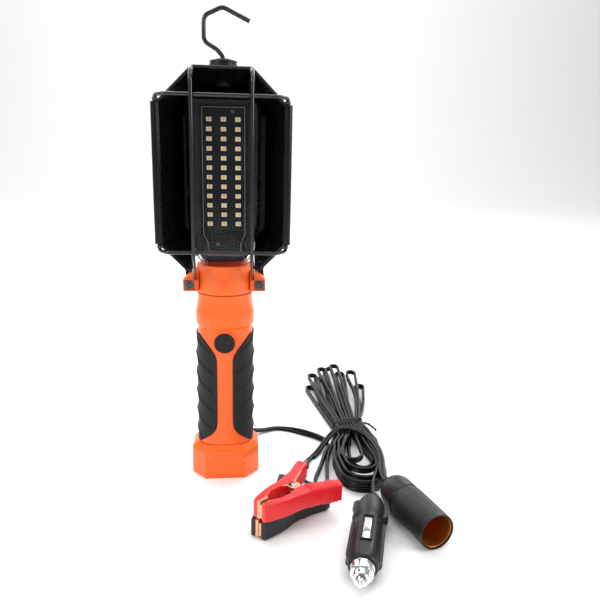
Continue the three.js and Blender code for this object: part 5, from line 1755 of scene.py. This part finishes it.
# ----------------------------------------------------------------------
# Lighter plug and socket. Each is built along +Z from its cord entry and laid down on the floor,
# where its own -X points up.
# ----------------------------------------------------------------------
@dataclass
class LighterPlug:
    """The lighter plug: a domed grip, a slotted barrel and a stepped metal nose."""

    entry: tuple = (100.2, -66.5, 10.3)
    heading: float = -106.5
    radius: float = 9.3

    def lay(self, shape: Shape) -> Shape:
        """Return a shape of the plug laid down in place."""
        return shape.moved(placed(self.entry, self.heading, "Z"))

    def body_rings(self) -> list:
        """Return the barrel's sections, flattened on top and below where the contacts sit."""
        stations = [(0.0, 2.7), (0.6, 3.1), (3.0, 4.2), (5.5, 5.8), (8.0, 7.3), (11.5, 8.5), (15.0, 9.05),
                    (19.0, 9.3), (24.0, 9.25),
                    (28.0, 8.7), (31.0, 8.0), (32.4, 8.1), (33.2, 9.0), (34.0, 9.3), (50.0, 9.3),
                    (66.5, 9.3), (70.5, 9.0), (72.4, 8.6), (73.0, 8.1)]
        rings = []
        for s, r in stations:
            ring = []
            for i in range(72):
                a = TURN * i / 72
                x, y = r * math.cos(a), r * math.sin(a)
                if 33.0 < s < 71.0:
                    x = max(-8.4, min(8.4, x))
                ring.append((x, y, s))
            rings.append(ring)
        return rings

    def slot_frame(self, up: int) -> Shape:
        """Return the raised frame round one contact slot."""
        outer = softened([(-3.9, 34.2), (3.9, 34.2), (3.9, 59.2), (-3.9, 59.2)], 0.8, 3, True)
        inner = softened([(-2.9, 35.2), (2.9, 35.2), (2.9, 58.0), (-2.9, 58.0)], 0.5, 3, True)
        heights = ((outer, 7.4), (outer, 9.0), (offset(outer, -0.25), 9.25), (offset(inner, 0.2), 9.25),
                   (inner, 9.0), (inner, 7.4))
        rings = [[(-up * h, y, s) for y, s in outline] for outline, h in heights]
        return loft(rings if up > 0 else [r[::-1] for r in rings], closed=True)

    def wings(self) -> Shape:
        """Return the two finger wings and the side rails."""
        shapes = []
        for side in (-1, 1):
            outline = [(12.0, side * 6.0), (12.3, side * 8.9), (14.2, side * 10.5), (22.5, side * 10.7),
                       (25.5, side * 10.1), (27.0, side * 8.0), (27.0, side * 6.0)]
            if side < 0:
                outline = outline[::-1]
            wing = prism(softened(outline, 0.9, 3, True), -3.3, 3.3, 0.8)
            shapes.append(wing.moved(ON_EDGE))
            rail = [(33.6, side * 7.2), (34.0, side * 9.7), (36.0, side * 10.1), (66.0, side * 10.1),
                    (69.0, side * 9.5), (70.5, side * 7.2)]
            if side < 0:
                rail = rail[::-1]
            bar = prism(softened(rail, 0.8, 3, True), -2.6, 2.6, 0.5)
            shapes.append(bar.moved(ON_EDGE))
            groove = box_shape((-0.45, side * 9.9 - 0.35, 38.0), (0.45, side * 9.9 + 0.35, 64.0), 0.1)
            shapes.append(groove)
        return shapes[0].plus(*shapes[1:])

    def build(self) -> list:
        """Make the plug's pieces and return their names."""
        body = loft(self.body_rings())
        ribs = [lathe([(4.3 - 0.25 * i, 2.4 - 1.3 * i), (4.6 - 0.25 * i, 2.8 - 1.3 * i),
                       (4.3 - 0.25 * i, 3.2 - 1.3 * i), (3.5 - 0.25 * i, 2.8 - 1.3 * i)][::-1], 32, ring=True)
                for i in range(2)]
        new_piece("plug_grip",
                  self.lay(body.plus(self.wings(), self.slot_frame(1), self.slot_frame(-1), *ribs)),
                  PLASTIC, nodes=("plug_body",), smooth=40)
        for name, up in (("upper", 1), ("lower", -1)):
            path = [(36.2, 8.1), (38.0, 8.7), (41.0, 9.3), (44.0, 9.65), (46.5, 9.75), (49.0, 9.65),
                    (52.0, 9.3), (55.0, 8.7), (56.8, 8.1)]
            line = [(-up * w, 0, s) for s, w in path]
            strip = sweep(line, softened([(2.1, 0.3), (-2.1, 0.3), (-2.1, -0.3), (2.1, -0.3)], 0.14, 2,
                    True), [(0, 1, 0)] * len(line))
            new_piece(f"plug_strip_{name}", self.lay(strip), CHROME, body=f"plug_contact_{name}",
                      nodes=(f"plug_contact_{name}",))
        knurl = []
        for s, r in ((68.0, 7.0), (73.2, 7.0), (74.0, 7.1), (74.5, 7.0)):
            knurl.append((r, s))
        cap = knurl + [(6.55, 75.6), (6.5, 78.6), (6.2, 79.2), (5.2, 79.8), (4.9, 80.5), (4.9, 82.4),
                       (4.6, 83.0), (3.0, 83.0), (2.85, 82.6), (2.85, 68.0)]
        teeth = []
        for i in range(36):
            a = TURN * i / 36
            tooth = box_shape((6.45, -0.22, 75.9), (6.72, 0.22, 78.6), 0.05)
            teeth.append(tooth.moved(Matrix.Rotation(a, 4, "Z")))
        ring = lathe(cap, 64, ring=True).plus(*teeth)
        new_piece("plug_nose_ring", self.lay(ring), CHROME, nodes=("plug_cap",), smooth=32)
        tip = lathe(softened([(0.2, 63.7), (4.6, 63.7), (4.6, 67.7), (2.6, 67.7), (2.6, 85.6), (2.2, 86.6),
                (1.5, 87.0), (1.2, 88.2), (0.2, 88.3)], 0.15, 2), 40)
        new_piece("plug_centre_tip", self.lay(tip), CHROME, body="plug_tip", nodes=("plug_tip",))
        dress("plug_fuse", FUSE)
        dress("plug_spring", STEEL)
        return ["plug_grip", "plug_strip_upper", "plug_strip_lower", "plug_nose_ring", "plug_centre_tip"]


@dataclass
class LighterSocket:
    """The lighter socket: a smooth cap, a groove and a ribbed sleeve round a copper liner."""

    entry: tuple = (114.2, -54.3, 12.2)
    heading: float = -73.5
    outer: float = 11.95
    inner: float = 11.0
    length: float = 58.5
    ribs: int = 56

    def lay(self, shape: Shape) -> Shape:
        """Return a shape of the socket laid down in place."""
        return shape.moved(placed(self.entry, self.heading, "Z"))

    def build(self) -> list:
        """Make the socket's pieces and return their names."""
        profile = [(1.9, 4.0), (8.2, 4.0), (9.2, 4.5), (10.3, 6.2), (11.2, 8.6), (11.6, 11.0), (11.7, 13.0),
                   (11.7, 20.6), (11.55, 21.3),
                   (11.2, 21.7), (11.15, 22.6), (11.3, 23.3), (11.7, 23.9), (11.72, 25.0)]
        rings = []
        sides = self.ribs * 4
        wave = (0.0, 0.0, 0.24, 0.24)
        rows = [(r, s, 0.0) for r, s in profile]
        rows += [(11.71, 25.6, 1.0), (11.71, 55.4, 1.0), (11.8, 56.2, 0.0), (11.95, 57.6, 0.0),
                 (11.75, 58.3, 0.0), (11.4, 58.5, 0.0),
                 (11.05, 58.3, 0.0), (11.0, 57.9, 0.0), (11.0, 16.0, 0.0), (1.9, 16.0, 0.0)]
        for r, s, amount in rows:
            rings.append(
                [((r + amount * wave[i % 4]) * math.cos(TURN * i / sides),
                  (r + amount * wave[i % 4]) * math.sin(TURN * i / sides), s)
                          for i in range(sides)])
        shell = loft(rings, closed=True)
        new_piece("socket_sleeve", self.lay(shell), PLASTIC, nodes=("socket_shell",),
                  smooth=30)
        liner = lathe([(10.25, 17.0), (10.7, 17.0), (10.7, 57.2), (10.55, 57.5), (10.3, 57.2),
                       (10.25, 30.0)][::-1], 64, ring=True)
        back = lathe([(3.0, 16.2), (10.6, 16.2), (10.6, 17.2), (3.0, 17.2)], 48)
        new_piece("socket_copper_liner", self.lay(liner.plus(back)), LINER,
                  nodes=("socket_liner",))
        dress("socket_contact", STEEL)
        boot = [(1.9, -4.0), (2.9, -4.0)]
        for i in range(3):
            s = -3.6 + 2.1 * i
            boot += [(3.0 + 0.3 * i, s), (3.2 + 0.3 * i, s + 1.1), (2.7 + 0.3 * i, s + 1.3),
                     (2.8 + 0.3 * i, s + 1.9)]
        boot += [(4.4, 2.8), (4.8, 3.2), (4.8, 3.9), (1.9, 3.9)]
        new_piece("socket_strain_boot", self.lay(lathe(boot, 40, ring=True)), RUBBER,
                  nodes=("socket_boot",))
        return ["socket_sleeve", "socket_copper_liner"]


# ----------------------------------------------------------------------
# Battery clips
# ----------------------------------------------------------------------
class Side(Enum):
    """Which half of a clip."""

    FAR = 1
    NEAR = -1


@dataclass
class BatteryClip:
    """One sprung clip: two copper jaws in vinyl sleeves, on a rivet."""

    name: str
    nose: tuple
    heading: float
    centre: float
    finish: Finish
    slot: str
    moving: Side
    body: str
    half_height: float = 6.75
    pivot: float = 30.0
    ribs: int = 9

    def matrix(self) -> Matrix:
        """Return where the clip lies."""
        return placed((*self.nose, self.centre), self.heading)

    def sleeve(self, side: Side) -> Shape:
        """Return one vinyl sleeve with its grip ribs and rolled end."""
        top = [(0.2, 2.2), (4.0, 2.15), (8.0, 2.3), (10.5, 3.3), (13.0, 4.5), (17.5, 5.1), (22.0, 5.1),
               (25.0, 3.9), (27.5, 2.8), (30.0, 2.6),
               (33.0, 2.8), (36.0, 3.9), (42.0, 7.2), (49.0, 10.6), (56.4, 14.1)]
        bottom = [(0.2, 5.4), (3.0, 6.5), (8.0, 8.1), (13.0, 9.4), (19.0, 10.3), (25.0, 10.9), (30.0, 12.0),
                  (36.0, 13.7), (40.0, 14.9), (46.0, 18.0), (53.0, 21.2)]
        count = 160
        inner, outer = [], []
        for i in range(count + 1):
            t = i / count
            inner.append(self.along(top, t))
            outer.append(self.along(bottom, t))
        rings = []
        for i in range(count + 1):
            t = i / count
            a, b = inner[i], outer[i]
            ridge = 0.0
            if 0.60 < t < 0.945:
                phase = (t - 0.60) / 0.345 * self.ribs
                ridge = 0.6 * (0.5 + 0.5 * math.cos(TURN * phase)) ** 0.6 if side is Side.NEAR else 0.0
            half = self.half_height - 0.55 + ridge
            if t < 0.03:
                half -= 0.25
            mid = (a + b) / 2
            reach = (b - a) / 2
            ring = []
            steps = 8
            power = 0.28
            for k in range(4 * steps):
                ang = TURN * k / (4 * steps)
                c, s = math.cos(ang), math.sin(ang)
                u = math.copysign(abs(c) ** power, c)
                w = math.copysign(abs(s) ** power, s)
                grow = 1.0 + (ridge * 0.06)
                point = mid + reach * u * grow
                ring.append((point.x, side.value * point.y, half * w))
            rings.append(ring if side is Side.FAR else ring[::-1])
        capped = self.hollow_end(rings)
        return capped

    def hollow_end(self, rings: list) -> Shape:
        """Return the sleeve with its far end turned in to a dark mouth."""
        last = rings[-1]
        centre = sum((Vector(p) for p in last), Vector()) / len(last)
        lip = [tuple(centre + (Vector(p) - centre) * 0.80) for p in last]
        before = rings[-6]
        deep_centre = sum((Vector(p) for p in before), Vector()) / len(before)
        deep = [tuple(deep_centre + (Vector(p) - deep_centre) * 0.78) for p in before]
        return loft([*rings, lip, deep])

    def along(self, points: list, t: float) -> Vector:
        """Return the point at a share of a line's length."""
        line = [Vector(p) for p in points]
        total = sum((b - a).length for a, b in zip(line, line[1:]))
        want = t * total
        for a, b in zip(line, line[1:]):
            span = (b - a).length
            if want <= span + 1e-9:
                return a.lerp(b, want / span)
            want -= span
        return line[-1]

    def jaw(self, side: Side) -> Shape:
        """Return one toothed copper jaw with its ears at the pivot."""
        half = 5.8 if side is Side.FAR else 4.6
        teeth = 6
        shapes = []
        nose = [(0.35, 0.5)]
        for i in range(teeth):
            u = 0.35 + 8.2 * i / teeth
            nose += [(u + 0.25, 0.18), (u + 0.95, 0.75)]
        nose += [(8.6, 2.2), (8.6, 4.9), (4.0, 4.9), (1.0, 4.3), (0.35, 3.6)]
        outline = nose if side is Side.FAR else [(x, -y) for x, y in nose][::-1]
        shapes.append(prism(outline, -half, half, 0.12))
        web = [(8.4, 2.4), (11.0, 3.6), (14.0, 5.3), (22.0, 6.0), (26.5, 2.3), (33.5, 2.3), (36.4, 4.4),
               (46.0, 9.1), (45.0, 12.5), (36.0, 10.5), (25.0, 8.9), (13.0, 7.4), (8.4, 5.2)]
        outline = web if side is Side.FAR else [(x, -y) for x, y in web][::-1]
        for low in (-half, half - 0.8):
            shapes.append(prism(outline, low, low + 0.8, 0.15))
            shapes.append(lathe([(1.75, low), (4.0, low), (4.0, low + 0.8), (1.75, low + 0.8)], 28,
                    ring=True).moved(Matrix.Translation((self.pivot, 0, 0))))
            shapes.append(
                prism([(27.2, -0.3 * side.value), (32.8, -0.3 * side.value), (32.8, 3.2 * side.value),
                       (27.2, 3.2 * side.value)][::side.value], low, low + 0.8, 0.1))
        return shapes[0].plus(*shapes[1:])

    def hardware(self) -> tuple:
        """Return the rivet and the wound spring."""
        head = 6.35
        rivet = lathe([(0.8, -head), (1.9, -head + 0.05), (2.2, -head + 0.35), (2.2, -head + 0.6),
                       (1.5, -head + 0.6), (1.5, head - 0.6),
                       (2.2, head - 0.6), (2.2, head - 0.35), (1.9, head - 0.05), (0.8, head)], 28)
        coil = []
        turns, count = 6.5, 130
        for i in range(count + 1):
            a = TURN * turns * i / count
            coil.append((2.5 * math.cos(a), 2.5 * math.sin(a), -3.0 + 6.0 * i / count))
        wire = [Vector(p) for p in coil]
        first, last = wire[0], wire[-1]
        wire = [first + Vector((7.0, 3.0, 0)), first + Vector((3.0, 1.0, 0)), *wire,
                last + Vector((8.5, -2.2, 0))]
        spring = sweep(wire, circle(0.6, 8))
        place = Matrix.Translation((self.pivot, 0, 0))
        return rivet.moved(place), spring.moved(place)

    def build(self) -> None:
        """Make the clip's pieces."""
        matrix = self.matrix()
        for side, word in ((Side.FAR, "far"), (Side.NEAR, "near")):
            body = self.body if side is self.moving else "lamp"
            new_piece(f"{self.name}_{word}_jaw_plate", self.jaw(side).moved(matrix), COPPER,
                      body=body,
                      nodes=(f"{self.name}_jaw_{word}",), smooth=30)
            new_piece(f"{self.name}_{word}_cover", self.sleeve(side).moved(matrix), self.finish,
                      body=body,
                      nodes=(f"{self.name}_sleeve_{word}",), smooth=50)
        rivet, spring = self.hardware()
        new_piece(f"{self.name}_pin", rivet.moved(matrix), STEEL, nodes=(f"{self.name}_rivet",))
        new_piece(f"{self.name}_coil", spring.moved(matrix), STEEL,
                  nodes=(f"{self.name}_spring",))


def main() -> None:
    """Build the studio and the light, in order."""
    logging.basicConfig(level=logging.INFO, format="%(message)s")
    studio = Studio()
    studio.place_camera()
    plug = LighterPlug().build()
    socket = LighterSocket().build()
    BatteryClip("red_clip", (22.6, -94.4), 39.5, 20.6, RED, "red_plastic", Side.NEAR,
                "red_clip_moving_half").build()
    BatteryClip("black_clip", (22.0, -93.0), 52.0, 6.8, CLIP_BLACK, "black_plastic", Side.FAR,
                "black_clip_moving_half").build()
    LampCord().build(plug)
    KitCords().build()
    LOG.info("the socket's pieces are %s", ", ".join(socket))
    CordTie().build()
    Foot().build()
    handle = Handle()
    handle.build()
    GripPad(handle).build()
    Switch().build()
    Collar().build()
    Shield().build()
    Guard().build()
    LampHead().build()
    Hook().build()
    studio.lay_floor()
    studio.hang_lights()


if __name__ == "__main__":
    main()
